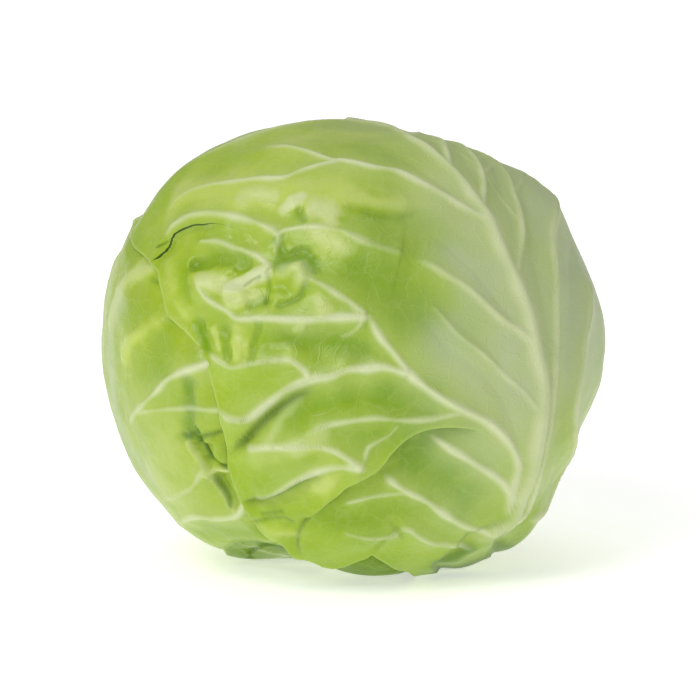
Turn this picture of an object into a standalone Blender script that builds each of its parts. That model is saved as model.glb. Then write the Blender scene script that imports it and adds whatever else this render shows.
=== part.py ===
"""A cabbage head: a dense heart, four wrapper leaves lying over it, and the cut stem.

The head stands on the flat spot at its foot, where the origin is. +X is to the right of
the front, +Y is away from the front and +Z is up. Every leaf is a thin sheet that follows
the form of the head. Where a leaf lies under others it sits one step deeper for each.
"""

import math
from dataclasses import dataclass, field

import bmesh
import bpy
import numpy as np
from mathutils import Vector

MM = 0.001

# Driving dimensions
HEAD_RADIUS = 85.8 * MM
CENTRE_HEIGHT = 77.5 * MM
FOOT_BLEND = 3.5 * MM
LEAF_THICKNESS = 1.3 * MM
LAYER_STEP = 2.7 * MM
LAYER_CLEAR = 2.5  # degrees that a covered leaf stays down beside the edge that covers it
LAYER_BLEND = 12.0  # degrees over which it then rises
HEART_ROOM = 0.7 * MM  # how much further in the heart lies than one more leaf would
STEM_RADIUS = 15.0 * MM
STEM_DIRECTION = (115.0, -62.0)  # compass and height of the stem, seen from the head's centre
STEM_FOOT = 78.5 * MM  # how far the cut face is from the head's centre
STEM_SOCKET = 70.0 * MM  # how far the heart reaches where the stem joins it
SOCKET_WIDTH = 15.5  # degrees
FIT_GAP = 0.4 * MM
FRONT_TILT = math.radians(12.0)  # the front elevation is drawn looking down by this much

# Lobes of the head's form: compass, height (degrees), how far it stands out, its spread (degrees)
LOBES = (
    (118.0, 68.0, -7.0 * MM, 25.0),
    (-150.0, 74.0, -3.0 * MM, 22.0),
    (85.0, 42.0, 2.0 * MM, 9.0),
    (-70.0, -56.0, 2.5 * MM, 12.0),
    (84.0, -28.0, -3.0 * MM, 11.0),
    (-88.0, 8.0, 2.5 * MM, 34.0),
    (94.0, 6.0, 2.0 * MM, 13.0),
    (90.0, -48.0, 2.0 * MM, 14.0),
    (0.0, 0.0, -2.0 * MM, 45.0),
    (178.0, -10.0, -2.5 * MM, 40.0),
    (115.0, -62.0, -8.0 * MM, 15.0),
)
# Slow waves that run all over the head: amplitude, three wave numbers and a phase
WAVES = (
    (0.55 * MM, (3.1, 1.2, 2.3), 0.4),
    (0.45 * MM, (-2.2, 3.6, 1.5), 1.9),
    (0.35 * MM, (4.2, -1.9, -3.4), 3.1),
)

CENTRE = np.array([0.0, 0.0, CENTRE_HEIGHT])
SIGHT = np.array([0.0, -math.cos(FRONT_TILT), math.sin(FRONT_TILT)])
RISE = np.array([0.0, math.sin(FRONT_TILT), math.cos(FRONT_TILT)])
RIGHT = np.array([1.0, 0.0, 0.0])


def unit(vectors):
    """The vectors, each made one long."""
    vectors = np.asarray(vectors, float)
    return vectors / np.linalg.norm(vectors, axis=-1, keepdims=True)


def compass(bearing, height):
    """A direction from the head's centre: 0 is the front, 90 the right, 180 the back."""
    across = math.cos(math.radians(height))
    turn = math.radians(bearing)
    return np.array([across * math.sin(turn), -across * math.cos(turn), math.sin(math.radians(height))])


def angle_between(directions, axis):
    """The angle in degrees from each direction to an axis."""
    return np.degrees(np.arccos(np.clip(np.asarray(directions) @ axis, -1.0, 1.0)))


def smooth(value):
    """0 below 0, 1 above 1, and an easy curve between."""
    value = np.clip(value, 0.0, 1.0)
    return value * value * (3.0 - 2.0 * value)


def softly_least(first, second, width):
    """The smaller of two lengths, rounded only where they are within a width of each other."""
    share = np.clip(0.5 + 0.5 * (second - first) / width, 0.0, 1.0)
    return second * (1.0 - share) + first * share - width * share * (1.0 - share)


STEM = compass(*STEM_DIRECTION)


def to_floor(directions):
    """How far it is from the head's centre to the surface it stands on."""
    down = np.maximum(-directions[..., 2], 1e-6)
    return CENTRE_HEIGHT / down


def form(directions):
    """The radius of the head, as its outermost leaf lies."""
    radius = np.full(directions.shape[:-1], HEAD_RADIUS)
    for bearing, height, stands_out, spread in LOBES:
        away = angle_between(directions, compass(bearing, height)) / spread
        radius = radius + stands_out * np.exp(-0.5 * away**2)
    for amplitude, numbers, phase in WAVES:
        radius = radius + amplitude * np.sin(directions @ np.array(numbers) * 2.0 + phase)
    return softly_least(radius, to_floor(directions), FOOT_BLEND)


def front(x, z):
    """The direction of the place seen at x, z (mm from the head's centre) in the front elevation."""
    flat = x * MM * RIGHT + z * MM * RISE
    depth = math.sqrt(max(HEAD_RADIUS**2 - flat @ flat, 0.0))
    for _ in range(8):
        radius = float(form(unit(flat + depth * SIGHT)))
        depth = math.sqrt(max(radius**2 - flat @ flat, 0.0))
    return unit(flat + depth * SIGHT)


def fronts(*places):
    """Several places of the front elevation as directions."""
    return [front(x, z) for x, z in places]


def compasses(*places):
    """Several compass places as directions."""
    return [compass(bearing, height) for bearing, height in places]


def smooth_path(directions, steps=5):
    """A curve on the head through a few directions, as points on the head's form."""
    knots = [directions[0], *directions, directions[-1]]
    made = []
    for before, here, there, after in zip(knots, knots[1:], knots[2:], knots[3:]):
        for k in range(steps):
            t = k / steps
            made.append(
                0.5
                * (
                    2.0 * here
                    + (there - before) * t
                    + (2.0 * before - 5.0 * here + 4.0 * there - after) * t**2
                    + (3.0 * here - before - 3.0 * there + after) * t**3
                )
            )
    made.append(directions[-1])
    made = unit(np.array(made))
    return made * form(made)[:, None]


def along_path(points, path):
    """How far each point is from a path, and where along it (0 to 1) the nearest place is."""
    least = np.full(len(points), np.inf)
    where = np.zeros(len(points))
    for k, (start, end) in enumerate(zip(path, path[1:])):
        run = end - start
        share = np.clip((points - start) @ run / max(run @ run, 1e-12), 0.0, 1.0)
        away = np.linalg.norm(points - start - share[:, None] * run, axis=1)
        nearer = away < least
        least[nearer] = away[nearer]
        where[nearer] = (k + share[nearer]) / (len(path) - 1)
    return least, where


@dataclass
class Rib:
    """A raised vein, or a groove where its heights are below zero."""

    path: list
    height: tuple  # at its start and its end
    width: tuple

    def relief(self, points, wider=1.0):
        """How far the rib lifts the leaf at each point."""
        away, where = along_path(points, smooth_path(self.path))
        height = self.height[0] + (self.height[1] - self.height[0]) * where
        width = wider * (self.width[0] + (self.width[1] - self.width[0]) * where)
        return height * np.exp(-0.5 * (away / width) ** 2)


@dataclass
class Leaf:
    """A wrapper leaf: its middle, the outline round it, and the ribs on it."""

    middle: np.ndarray
    outline: list
    ribs: list = field(default_factory=list)
    fold: list = field(default_factory=list)  # a pleat's edge, which stands proud of what is below it
    fold_height: float = 0.0
    edge_lift: float = 1.0 * MM
    edge_waves: int = 9

    def __post_init__(self):
        up = np.array([0.0, 0.0, 1.0]) if abs(self.middle[2]) < 0.9 else np.array([0.0, 1.0, 0.0])
        self.across = unit(np.cross(up, self.middle))
        self.along = np.cross(self.middle, self.across)
        self.edge_bearings, self.edge_reach = self.polar_table(self.outline)
        self.rim_bearings = np.linspace(-math.pi, math.pi, 241)

    def polar(self, directions):
        """Each direction's bearing round the leaf's middle and its angle from it, in radians."""
        bearing = np.arctan2(directions @ self.along, directions @ self.across)
        return bearing, np.arccos(np.clip(directions @ self.middle, -1.0, 1.0))

    def polar_table(self, directions):
        """Bearings in order and the reach at each."""
        bearing, reach = self.polar(np.array(directions))
        order = np.argsort(bearing)
        return bearing[order], reach[order]

    def reach(self, bearing):
        """The angle from the middle to the leaf's edge at each bearing."""
        return np.interp(bearing, self.edge_bearings, self.edge_reach, period=2.0 * math.pi)

    def direction(self, bearing, angle):
        """The direction at a bearing and an angle from the leaf's middle."""
        flat = np.cos(bearing)[:, None] * self.across + np.sin(bearing)[:, None] * self.along
        return np.cos(angle)[:, None] * self.middle + np.sin(angle)[:, None] * flat

    def covers(self, directions):
        """1 where the leaf lies, falling to 0 a little way outside its edge."""
        bearing, angle = self.polar(directions)
        rim = self.direction(self.rim_bearings, self.reach(self.rim_bearings))
        nearest = (directions @ rim.T).max(axis=1)
        outside = np.where(angle > self.reach(bearing), np.degrees(np.arccos(np.clip(nearest, -1.0, 1.0))), 0.0)
        return 1.0 - smooth((outside - LAYER_CLEAR) / LAYER_BLEND)

    def relief(self, points, wider=1.0):
        """How far the ribs lift each point, and how far the grooves sink it."""
        lifts = np.array([rib.relief(points, wider) for rib in self.ribs])
        return np.maximum(lifts.max(axis=0), 0.0), np.minimum(lifts.min(axis=0), 0.0)

    def pleat(self, directions):
        """How far the blade above the pleat's edge is lifted over the blade below it."""
        if not self.fold:
            return np.zeros(len(directions))
        bearing, angle = self.polar(directions)
        fold_bearing, fold_reach = self.polar_table(self.fold)
        edge = np.interp(bearing, fold_bearing, fold_reach)
        place = (bearing - fold_bearing[0]) / (fold_bearing[-1] - fold_bearing[0])
        ends = smooth(place / 0.2) * smooth((1.0 - place) / 0.25)
        inward = np.degrees(edge - angle)
        rise = smooth((inward + 4.0) / 4.0) * np.exp(-np.maximum(inward, 0.0) / 14.0)
        return self.fold_height * ends * rise


def ribs_from(midrib, pairs, spread, length, height, seed):
    """Side ribs that leave a midrib by turns on its two sides and bend towards its tip."""
    draw = np.random.default_rng(seed)
    path = smooth_path(midrib)
    made = []
    for k in range(2 * pairs):
        at = 0.12 + 0.76 * (k + 0.5 * draw.random()) / (2 * pairs)
        here = unit(path[int(at * (len(path) - 1))])
        ahead = unit(path[min(int(at * (len(path) - 1)) + 2, len(path) - 1)])
        heading = unit(ahead - here)
        side = np.cross(here, heading) * (1.0 if k % 2 else -1.0)
        turn = math.radians(spread + 12.0 * (draw.random() - 0.5))
        reach = math.radians(length * (1.1 - 0.45 * at))
        places = [here]
        for share in (0.25, 0.5, 0.75, 1.0):
            bend = turn * (1.0 - 0.35 * share)
            step = math.cos(bend) * heading + math.sin(bend) * side
            places.append(unit(here + math.tan(min(reach * share, 1.2)) * step))
        made.append(Rib(places, (height, 0.5 * height), (4.2 * MM, 3.4 * MM)))
    return made


def front_leaf():
    """The outermost leaf: from the foot on the right it wraps the front, the top and the right."""
    outline = (
        compasses((94, -31), (84, -40), (80, -50), (86, -59), (94, -66), (78, -70), (56, -64))
        + fronts((30.3, -76.6), (24, -70.5), (16.3, -65.5), (10.3, -69.3), (6.5, -73.2), (0.2, -75.4))
        + fronts((-8, -75.6), (-15.6, -75.2), (-19.8, -74.2), (-24.7, -70.4), (-33.4, -64.8))
        + fronts((-38.7, -54.6), (-43.6, -42.4), (-43.6, -32.9), (-46, -22.4), (-49.9, -8.1))
        + fronts((-52.3, -2.1), (-59, 4.6), (-63.9, 9.5), (-66, 16), (-69, 24.5), (-75.4, 28.5))
        + compasses((-92, 22), (-112, 22), (-133, 32), (-157, 41), (180, 44), (158, 38))
        + compasses((144, 22), (132, 5), (120, -10), (107, -22))
    )
    midrib = compasses((84, -65), (76, -58)) + fronts((51, -60), (63, -44), (66.5, -19.6), (60.9, 11.5), (50.2, 36.8))
    midrib += fronts((36.6, 58.4), (19, 71.7)) + compasses((-170, 78), (-176, 60))
    side_ribs = (
        compasses((86, -58)) + fronts((66, -48), (69.5, -25), (71, 0), (70.5, 45)) + compasses((95, 45)),
        compasses((90, -50), (90, -28), (98, 0), (104, 22), (118, 38)),
        fronts((47, 42), (30.3, 52), (7.9, 60.9), (-17, 66.8), (-38, 68)),
        fronts((-7.9, 63.4), (-32, 56.7), (-56, 52.9), (-65, 46)),
        fronts((64.4, -2.1), (51.6, 8.4), (32.7, 23.5), (7.9, 33.6), (-13.8, 40.2), (-38, 43.2), (-63, 41)),
        fronts((55.3, -49), (52, -31), (34, -21), (18.5, -8.4), (9, 3.5), (3.3, 10.5)),
        fronts((3.3, 10.5), (-13.8, 8.4), (-40.4, 8.7), (-52.3, 17.3)),
        fronts((3.3, 10.5), (-9, 19.1), (-28, 26), (-51, 35)),
        fronts((19.6, -10.5), (4.7, -8.6), (-14.2, -12.3), (-32.4, -23), (-39, -26.4)),
        fronts((2, -42), (-14, -35.4), (-39.7, -36)),
        fronts((2, -42), (-20.5, -48), (-36, -54)),
        fronts((54, -52), (48.5, -45.5), (35.9, -38), (25.4, -31.2)),
        fronts((40.3, -64), (30.3, -58.5), (19, -51.8), (9.3, -44.5)),
    )
    ribs = [Rib(midrib, (5.0 * MM, 1.4 * MM), (6.5 * MM, 3.6 * MM))]
    ribs += [Rib(path, (2.2 * MM, 1.3 * MM), (3.6 * MM, 2.8 * MM)) for path in side_ribs]
    fold = fronts((46, -30.5), (34.5, -28.7), (26.8, -30.8), (16.3, -35.7), (7.5, -45.9))
    fold += fronts((-4.7, -54.6), (-12.4, -60.2), (-17.7, -65.8), (-20.5, -72))
    return Leaf(front(16.3, 15.4), outline, ribs, fold, 3.6 * MM, 1.4 * MM, 13)


def foot_leaf():
    """The leaf under the foot, which the head stands on. Its lip shows below the front leaf."""
    outline = (
        fronts((50, -60), (41, -52), (30, -49), (19, -53), (11.5, -62), (7.5, -73))
        + compasses((-6, -57), (-34, -66), (-72, -66), (-115, -64), (-160, -64), (160, -66), (137, -77))
        + compasses((112, -79), (84, -72), (62, -56))
    )
    ribs = [Rib(fronts((33, -70), (23, -66.8), (16, -67)), (1.2 * MM, 0.8 * MM), (3.0 * MM, 2.6 * MM))]
    return Leaf(compass(12, -76), outline, ribs, edge_lift=0.3 * MM, edge_waves=5)


def left_leaf():
    """The leaf that shows on the left and wraps the left of the back."""
    outline = (
        compasses((-22, 2), (-18, -25), (-20, -46))
        + fronts((-23.6, -74.2), (-30.5, -74.8), (-37.3, -75.2))
        + compasses((-50, -61), (-75, -69), (-110, -79), (120, -84), (140, -72), (158, -62), (172, -50))
        + compasses((-178, -38), (-172, -15), (-168, 8), (-160, 28), (-145, 46), (-110, 54))
        + compasses((-80, 52), (-50, 44), (-30, 24))
    )
    midrib = compasses((156, -70), (-158, -60), (-132, -42), (-120, -14), (-112, 14), (-104, 40))
    side_ribs = (
        fronts((-49.4, -7), (-64, -12.5), (-72, -20.5), (-78, -27)),
        fronts((-43, -25.5), (-60, -22.4), (-73.3, -23.5)),
        fronts((-39, -56), (-42.2, -60.3), (-54.8, -60.2), (-62, -64.2)),
        fronts((-69.5, 25), (-75.4, 25.2), (-80.3, 21.5), (-84.5, 13)),
    )
    ribs = [Rib(midrib, (4.6 * MM, 1.4 * MM), (6.0 * MM, 3.6 * MM))]
    ribs += ribs_from(midrib, 4, 52.0, 50.0, 2.8 * MM, 11)
    ribs += [Rib(path, (1.5 * MM, 1.0 * MM), (3.2 * MM, 2.8 * MM)) for path in side_ribs]
    groove = fronts((-55.5, -12), (-53, -24), (-48.5, -38), (-44, -50), (-40.5, -57))
    ribs.append(Rib(groove, (-2.5 * MM, -5.0 * MM), (5.0 * MM, 4.6 * MM)))
    return Leaf(compass(-98, -6), outline, ribs, edge_lift=1.0 * MM)


def back_leaf():
    """The leaf that wraps the back, with its thick foot showing at the lower right."""
    outline = compasses(
        (62, -42), (74, -15), (84, 15), (102, 44), (140, 62), (180, 66), (-148, 60), (-126, 42),
        (-114, 12), (-116, -20), (-130, -44), (-160, -56), (165, -58), (138, -53), (115, -48),
        (98, -53), (80, -54),
    )
    midrib = compasses((112, -50), (112, -32), (124, -8), (142, 18), (160, 40), (172, 56))
    foot = compasses((104, -54), (96, -48), (90, -38), (96, -20))
    ribs = [Rib(midrib, (5.0 * MM, 1.4 * MM), (6.5 * MM, 3.6 * MM))]
    ribs += ribs_from(midrib, 5, 50.0, 56.0, 2.8 * MM, 23)
    ribs.append(Rib(foot, (5.0 * MM, 1.0 * MM), (8.0 * MM, 5.0 * MM)))
    return Leaf(compass(158, 2), outline, ribs, edge_lift=1.0 * MM)


# From the outermost leaf inwards, each with the number of squares along its sheet
LEAVES = {
    "front_leaf": (front_leaf(), 38),
    "foot_leaf": (foot_leaf(), 18),
    "left_leaf": (left_leaf(), 30),
    "back_leaf": (back_leaf(), 28),
}


def surface(directions, above, leaf=None):
    """The radius of a leaf's outer side, or of the heart if no leaf is given."""
    covered = sum((other.covers(directions) for other in above), np.zeros(len(directions)))
    base = form(directions)
    points = directions * base[:, None]
    radius = base - LAYER_STEP * covered
    for other in above:
        radius = radius + other.relief(points, 1.8)[1]
    floor = to_floor(directions)
    if leaf is None:
        return radius - HEART_ROOM
    bare = (1.0 - 0.9 * np.clip(covered, 0.0, 1.0)) * smooth((floor - base) / (4.0 * MM))
    raised, sunk = leaf.relief(points)
    bearing, angle = leaf.polar(directions)
    share = angle / leaf.reach(bearing)
    lip = leaf.edge_lift * smooth((share - 0.9) / 0.1) * (0.6 + 0.4 * np.sin(leaf.edge_waves * bearing))
    radius = radius + bare * (raised + lip + leaf.pleat(directions)) + sunk
    return np.minimum(radius, floor)


def new_object(name, bm, material):
    """A mesh object, shaded smooth, with its material, in the head's collection."""
    mesh = bpy.data.meshes.new(name)
    bm.to_mesh(mesh)
    bm.free()
    mesh.shade_smooth()
    mesh.materials.append(material)
    made = bpy.data.objects.new(name, mesh)
    HEAD.objects.link(made)
    return made


def sheet(name, leaf, squares, above, material):
    """A leaf as a square grid rounded to a disc, laid over the head out to the leaf's outline."""
    bm = bmesh.new()
    bmesh.ops.create_grid(bm, x_segments=squares, y_segments=squares, size=1.0)
    flat = np.array([v.co[:2] for v in bm.verts])
    x = flat[:, 0] * np.sqrt(1.0 - 0.5 * flat[:, 1] ** 2)
    y = flat[:, 1] * np.sqrt(1.0 - 0.5 * flat[:, 0] ** 2)
    bearing = np.arctan2(y, x)
    directions = leaf.direction(bearing, np.hypot(x, y) * leaf.reach(bearing))
    points = CENTRE + directions * surface(directions, above, leaf)[:, None]
    for vertex, point in zip(bm.verts, points):
        vertex.co = point
    bmesh.ops.triangulate(bm, faces=bm.faces)
    inner = bmesh.ops.extrude_face_region(bm, geom=bm.faces[:], use_keep_orig=True)["geom"]
    for vertex in (item for item in inner if isinstance(item, bmesh.types.BMVert)):
        vertex.co += (Vector(CENTRE) - vertex.co).normalized() * LEAF_THICKNESS
    bmesh.ops.recalc_face_normals(bm, faces=bm.faces)
    return new_object(name, bm, material)


def heart(material):
    """The dense head of packed leaves inside the wrappers, with a socket where the stem joins."""
    bm = bmesh.new()
    bmesh.ops.create_uvsphere(bm, u_segments=42, v_segments=28, radius=1.0)
    directions = unit(np.array([v.co for v in bm.verts]))
    # The sphere's poles are turned to the stem, so that the socket is round
    turn = Vector((0.0, 0.0, -1.0)).rotation_difference(Vector(STEM)).to_matrix()
    directions = directions @ np.array(turn).T
    radius = surface(directions, [leaf for leaf, _ in LEAVES.values()])
    aside = angle_between(directions, STEM)
    inside = smooth((aside - SOCKET_WIDTH) / 6.0)
    radius = STEM_SOCKET + (radius - STEM_SOCKET) * inside
    for vertex, point in zip(bm.verts, CENTRE + directions * radius[:, None]):
        vertex.co = point
    return new_object("heart", bm, material)


def stem(material):
    """The cut stem: a short thick peg, a little wider where it joins the heart."""
    bm = bmesh.new()
    # The socket's floor is flat-sided, so the peg starts a little way clear of its ball
    start = STEM_SOCKET + FIT_GAP
    length = STEM_FOOT - start
    bmesh.ops.create_cone(
        bm, cap_ends=True, segments=28, radius1=STEM_RADIUS, radius2=STEM_RADIUS - 1.2 * MM, depth=length
    )
    made = new_object("stem", bm, material)
    made.location = CENTRE + STEM * (start + length / 2.0)
    made.rotation_mode = "QUATERNION"
    made.rotation_quaternion = Vector(STEM).to_track_quat("Z", "Y")
    trim = made.modifiers.new("trimmed edge", "BEVEL")
    trim.width = 1.0 * MM
    trim.segments = 2
    return made


def finish(name, colour, roughness):
    """A plain finish with one colour."""
    material = bpy.data.materials.new(name)
    material.use_nodes = True
    shader = material.node_tree.nodes["Principled BSDF"]
    shader.inputs["Base Color"].default_value = (*colour, 1.0)
    shader.inputs["Roughness"].default_value = roughness
    shader.inputs["Metallic"].default_value = 0.0
    return material


for leftover in list(bpy.data.objects):
    bpy.data.objects.remove(leftover)
HEAD = bpy.data.collections.new("cabbage_head")
bpy.context.scene.collection.children.link(HEAD)

LEAF_COLOURS = {
    "front_leaf": (0.33, 0.47, 0.10),
    "foot_leaf": (0.28, 0.42, 0.10),
    "left_leaf": (0.42, 0.54, 0.16),
    "back_leaf": (0.36, 0.48, 0.18),
}
outer = []
for leaf_name, (leaf_shape, leaf_squares) in LEAVES.items():
    blade = finish(leaf_name, LEAF_COLOURS[leaf_name], 0.42)
    sheet(leaf_name, leaf_shape, leaf_squares, list(outer), blade)
    outer.append(leaf_shape)
heart(finish("heart", (0.55, 0.63, 0.30), 0.45))
stem(finish("stem", (0.72, 0.74, 0.50), 0.60))

# The origin is under the middle of the whole head
bpy.context.view_layer.update()
corners = np.array([made.matrix_world @ v.co for made in HEAD.objects for v in made.data.vertices])
middle = (corners.min(axis=0) + corners.max(axis=0)) / 2.0
for made in HEAD.objects:
    made.location -= Vector((middle[0], middle[1], 0.0))
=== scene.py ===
"""The looks of a green cabbage head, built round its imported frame.

The head is seen a little from above. Its wrapper leaves are closed shells that follow the head's
form: each one is a sphere's mesh whose front half becomes the leaf's outer face, whose equator
becomes the leaf's edge and whose back half becomes its inner face. Veins, folds and puckers are
traced where the photograph shows them, and grow by rule where it doesn't.
"""

import logging
import math
from collections.abc import Callable, Sequence
from dataclasses import dataclass, field
from enum import Enum

import bpy
import numpy as np
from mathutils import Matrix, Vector

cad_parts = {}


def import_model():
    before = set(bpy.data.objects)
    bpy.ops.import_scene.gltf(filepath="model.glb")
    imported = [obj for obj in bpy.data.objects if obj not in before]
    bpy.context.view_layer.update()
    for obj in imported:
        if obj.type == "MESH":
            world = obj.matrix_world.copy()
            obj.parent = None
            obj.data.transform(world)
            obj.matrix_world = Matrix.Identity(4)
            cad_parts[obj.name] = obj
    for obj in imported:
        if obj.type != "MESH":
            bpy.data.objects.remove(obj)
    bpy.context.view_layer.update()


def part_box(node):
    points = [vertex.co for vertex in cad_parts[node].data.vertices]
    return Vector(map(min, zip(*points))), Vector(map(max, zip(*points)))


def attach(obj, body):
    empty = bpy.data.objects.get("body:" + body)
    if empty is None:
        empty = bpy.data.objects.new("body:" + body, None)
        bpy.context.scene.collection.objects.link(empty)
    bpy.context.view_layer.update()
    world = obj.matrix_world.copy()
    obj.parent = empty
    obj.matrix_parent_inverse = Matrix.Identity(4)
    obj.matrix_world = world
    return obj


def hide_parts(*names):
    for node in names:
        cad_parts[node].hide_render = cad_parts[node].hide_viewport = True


LOG = logging.getLogger("cabbage")
MM = 0.001
CM_PER_MM = 0.1
CUTS = 4  # how many pieces each side of a leaf's coarse cell is cut into
Array = np.ndarray
Pair = tuple[float, float]
Colour = tuple[float, float, float]


def unit(vectors: Array) -> Array:
    """The vectors, each made one long."""
    vectors = np.asarray(vectors, float)
    return vectors / np.linalg.norm(vectors, axis=-1, keepdims=True)


def smooth(value: Array) -> Array:
    """0 below 0, 1 above 1, and an easy curve between."""
    value = np.clip(value, 0.0, 1.0)
    return value * value * (3.0 - 2.0 * value)


def compass(*places: Pair) -> Array:
    """Directions from the head's centre.

    Args:
        places: Bearing and height in degrees. Bearing 0 is the front and 90 the right.

    Returns:
        One direction a row.
    """
    turn, height = np.radians(np.array(places, float)).T
    return np.stack([np.cos(height) * np.sin(turn), -np.cos(height) * np.cos(turn), np.sin(height)], axis=1)


def curve_through(knots: Array, steps: int = 5) -> Array:
    """A smooth curve through directions.

    Args:
        knots: The directions that the curve passes through.
        steps: How many points it has between two of them.

    Returns:
        The curve's points, as directions.
    """
    ends = np.vstack([2.0 * knots[0] - knots[1], knots, 2.0 * knots[-1] - knots[-2]])
    share = np.linspace(0.0, 1.0, steps, endpoint=False)[None, :, None]
    before, here, there, after = (ends[k : len(knots) - 1 + k, None] for k in range(4))
    curve = 0.5 * (
        2.0 * here
        + (there - before) * share
        + (2.0 * before - 5.0 * here + 4.0 * there - after) * share**2
        + (3.0 * here - before - 3.0 * there + after) * share**3
    )
    return unit(np.vstack([curve.reshape(-1, 3), knots[-1:]]))


@dataclass(frozen=True)
class Lobe:
    """A place where the head's form stands out or is flattened, in degrees and millimetres."""

    bearing: float
    height: float
    stands_out: float
    spread: float

    def at(self, directions: Array) -> Array:
        """How far the form stands out along each direction."""
        axis = compass((self.bearing, self.height))[0]
        away = np.degrees(np.arccos(np.clip(directions @ axis, -1.0, 1.0))) / self.spread
        return self.stands_out * np.exp(-0.5 * away**2)


@dataclass(frozen=True)
class HeadForm:
    """The smooth form that every leaf follows, in millimetres from the head's centre."""

    radius: float = 85.8
    centre_height: float = 77.5
    foot_blend: float = 3.5
    lobes: tuple[Lobe, ...] = (
        Lobe(118.0, 68.0, -7.0, 25.0),
        Lobe(-150.0, 74.0, -3.0, 22.0),
        Lobe(85.0, 42.0, 2.0, 9.0),
        Lobe(-70.0, -56.0, 2.5, 12.0),
        Lobe(84.0, -28.0, -3.4, 10.0),
        Lobe(-88.0, 8.0, 2.5, 34.0),
        Lobe(92.0, -1.0, 4.8, 14.0),
        Lobe(-86.0, 41.0, 2.2, 9.0),
        Lobe(90.0, -48.0, 2.0, 14.0),
        Lobe(0.0, 0.0, -2.0, 45.0),
        Lobe(178.0, -10.0, -2.5, 40.0),
        Lobe(115.0, -62.0, -8.0, 15.0),
        Lobe(-88.0, -25.0, 2.8, 11.0),
        Lobe(66.0, -60.0, 3.5, 8.0),
        Lobe(77.0, -49.0, 4.5, 7.0),
    )
    waves: tuple[tuple[float, tuple[float, float, float], float], ...] = (
        (0.55, (3.1, 1.2, 2.3), 0.4),
        (0.45, (-2.2, 3.6, 1.5), 1.9),
        (0.35, (4.2, -1.9, -3.4), 3.1),
    )

    def floor_at(self, directions: Array) -> Array:
        """How far it is to the floor along each direction."""
        return self.centre_height / np.maximum(-directions[:, 2], 1e-6)

    def radius_at(self, directions: Array) -> Array:
        """How far the head's outer form is from its centre along each direction."""
        radius = np.full(len(directions), self.radius)
        for lobe in self.lobes:
            radius = radius + lobe.at(directions)
        for amplitude, numbers, phase in self.waves:
            radius = radius + amplitude * np.sin(2.0 * directions @ np.array(numbers) + phase)
        floor = self.floor_at(directions)
        share = np.clip(0.5 + 0.5 * (floor - radius) / self.foot_blend, 0.0, 1.0)
        return floor * (1.0 - share) + radius * share - self.foot_blend * share * (1.0 - share)


@dataclass(frozen=True)
class PhotoView:
    """How the photograph sees the head: a long way off, a little from above."""

    form: HeadForm
    tilt: float = math.radians(12.0)
    scale: float = 0.35  # millimetres that a pixel spans at the head
    head_pixel: Pair = (353.5, 344.0)
    picture_middle: Pair = (350.0, 350.0)
    picture_width: float = 700.0
    distance: float = 3.0  # metres

    @property
    def sight(self) -> Array:
        """The direction from the head to the camera."""
        return np.array([0.0, -math.cos(self.tilt), math.sin(self.tilt)])

    @property
    def rise(self) -> Array:
        """The direction that is up in the picture."""
        return np.array([0.0, math.sin(self.tilt), math.cos(self.tilt)])

    def directions(self, pixels: Sequence[Pair]) -> Array:
        """Directions of the places on the head that are seen at some pixels."""
        column, row = np.array(pixels, float).T
        across = (column - self.head_pixel[0]) * self.scale
        up = (self.head_pixel[1] - row) * self.scale
        flat = across[:, None] * np.array([1.0, 0.0, 0.0]) + up[:, None] * self.rise
        depth = np.full(len(flat), self.form.radius)
        for _ in range(10):
            found = unit(flat + depth[:, None] * self.sight)
            depth = np.sqrt(np.maximum(self.form.radius_at(found) ** 2 - (flat**2).sum(axis=1), 0.0))
        return unit(flat + depth[:, None] * self.sight)

    def raised(self, directions: Array, lift: Array | float) -> Array:
        """Where things that stand above the head's form have to be, to be seen at some places on it.

        Args:
            directions: The places where they are seen. Those that the photograph doesn't show stay.
            lift: How far above the form each one stands, in millimetres.

        Returns:
            Their directions.
        """
        radius = self.form.radius_at(directions)
        depth = radius * (directions @ self.sight)
        flat = directions * radius[:, None] - depth[:, None] * self.sight
        deeper = np.sqrt(np.maximum((radius + lift) ** 2 - (flat**2).sum(axis=1), 0.0))
        share = smooth(depth / radius / 0.35)[:, None]
        return unit((1.0 - share) * directions + share * unit(flat + deeper[:, None] * self.sight))

    def camera_target(self, centre: Vector) -> Vector:
        """The point, in metres, that lies in the middle of the picture."""
        across = (self.picture_middle[0] - self.head_pixel[0]) * self.scale * MM
        up = (self.head_pixel[1] - self.picture_middle[1]) * self.scale * MM
        return centre + Vector((across, 0.0, 0.0)) + up * Vector(self.rise)


FORM = HeadForm()
VIEW = PhotoView(FORM)


def traced(*pixels: Pair) -> Array:
    """Directions of places traced in the photograph."""
    return VIEW.directions(pixels)


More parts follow.
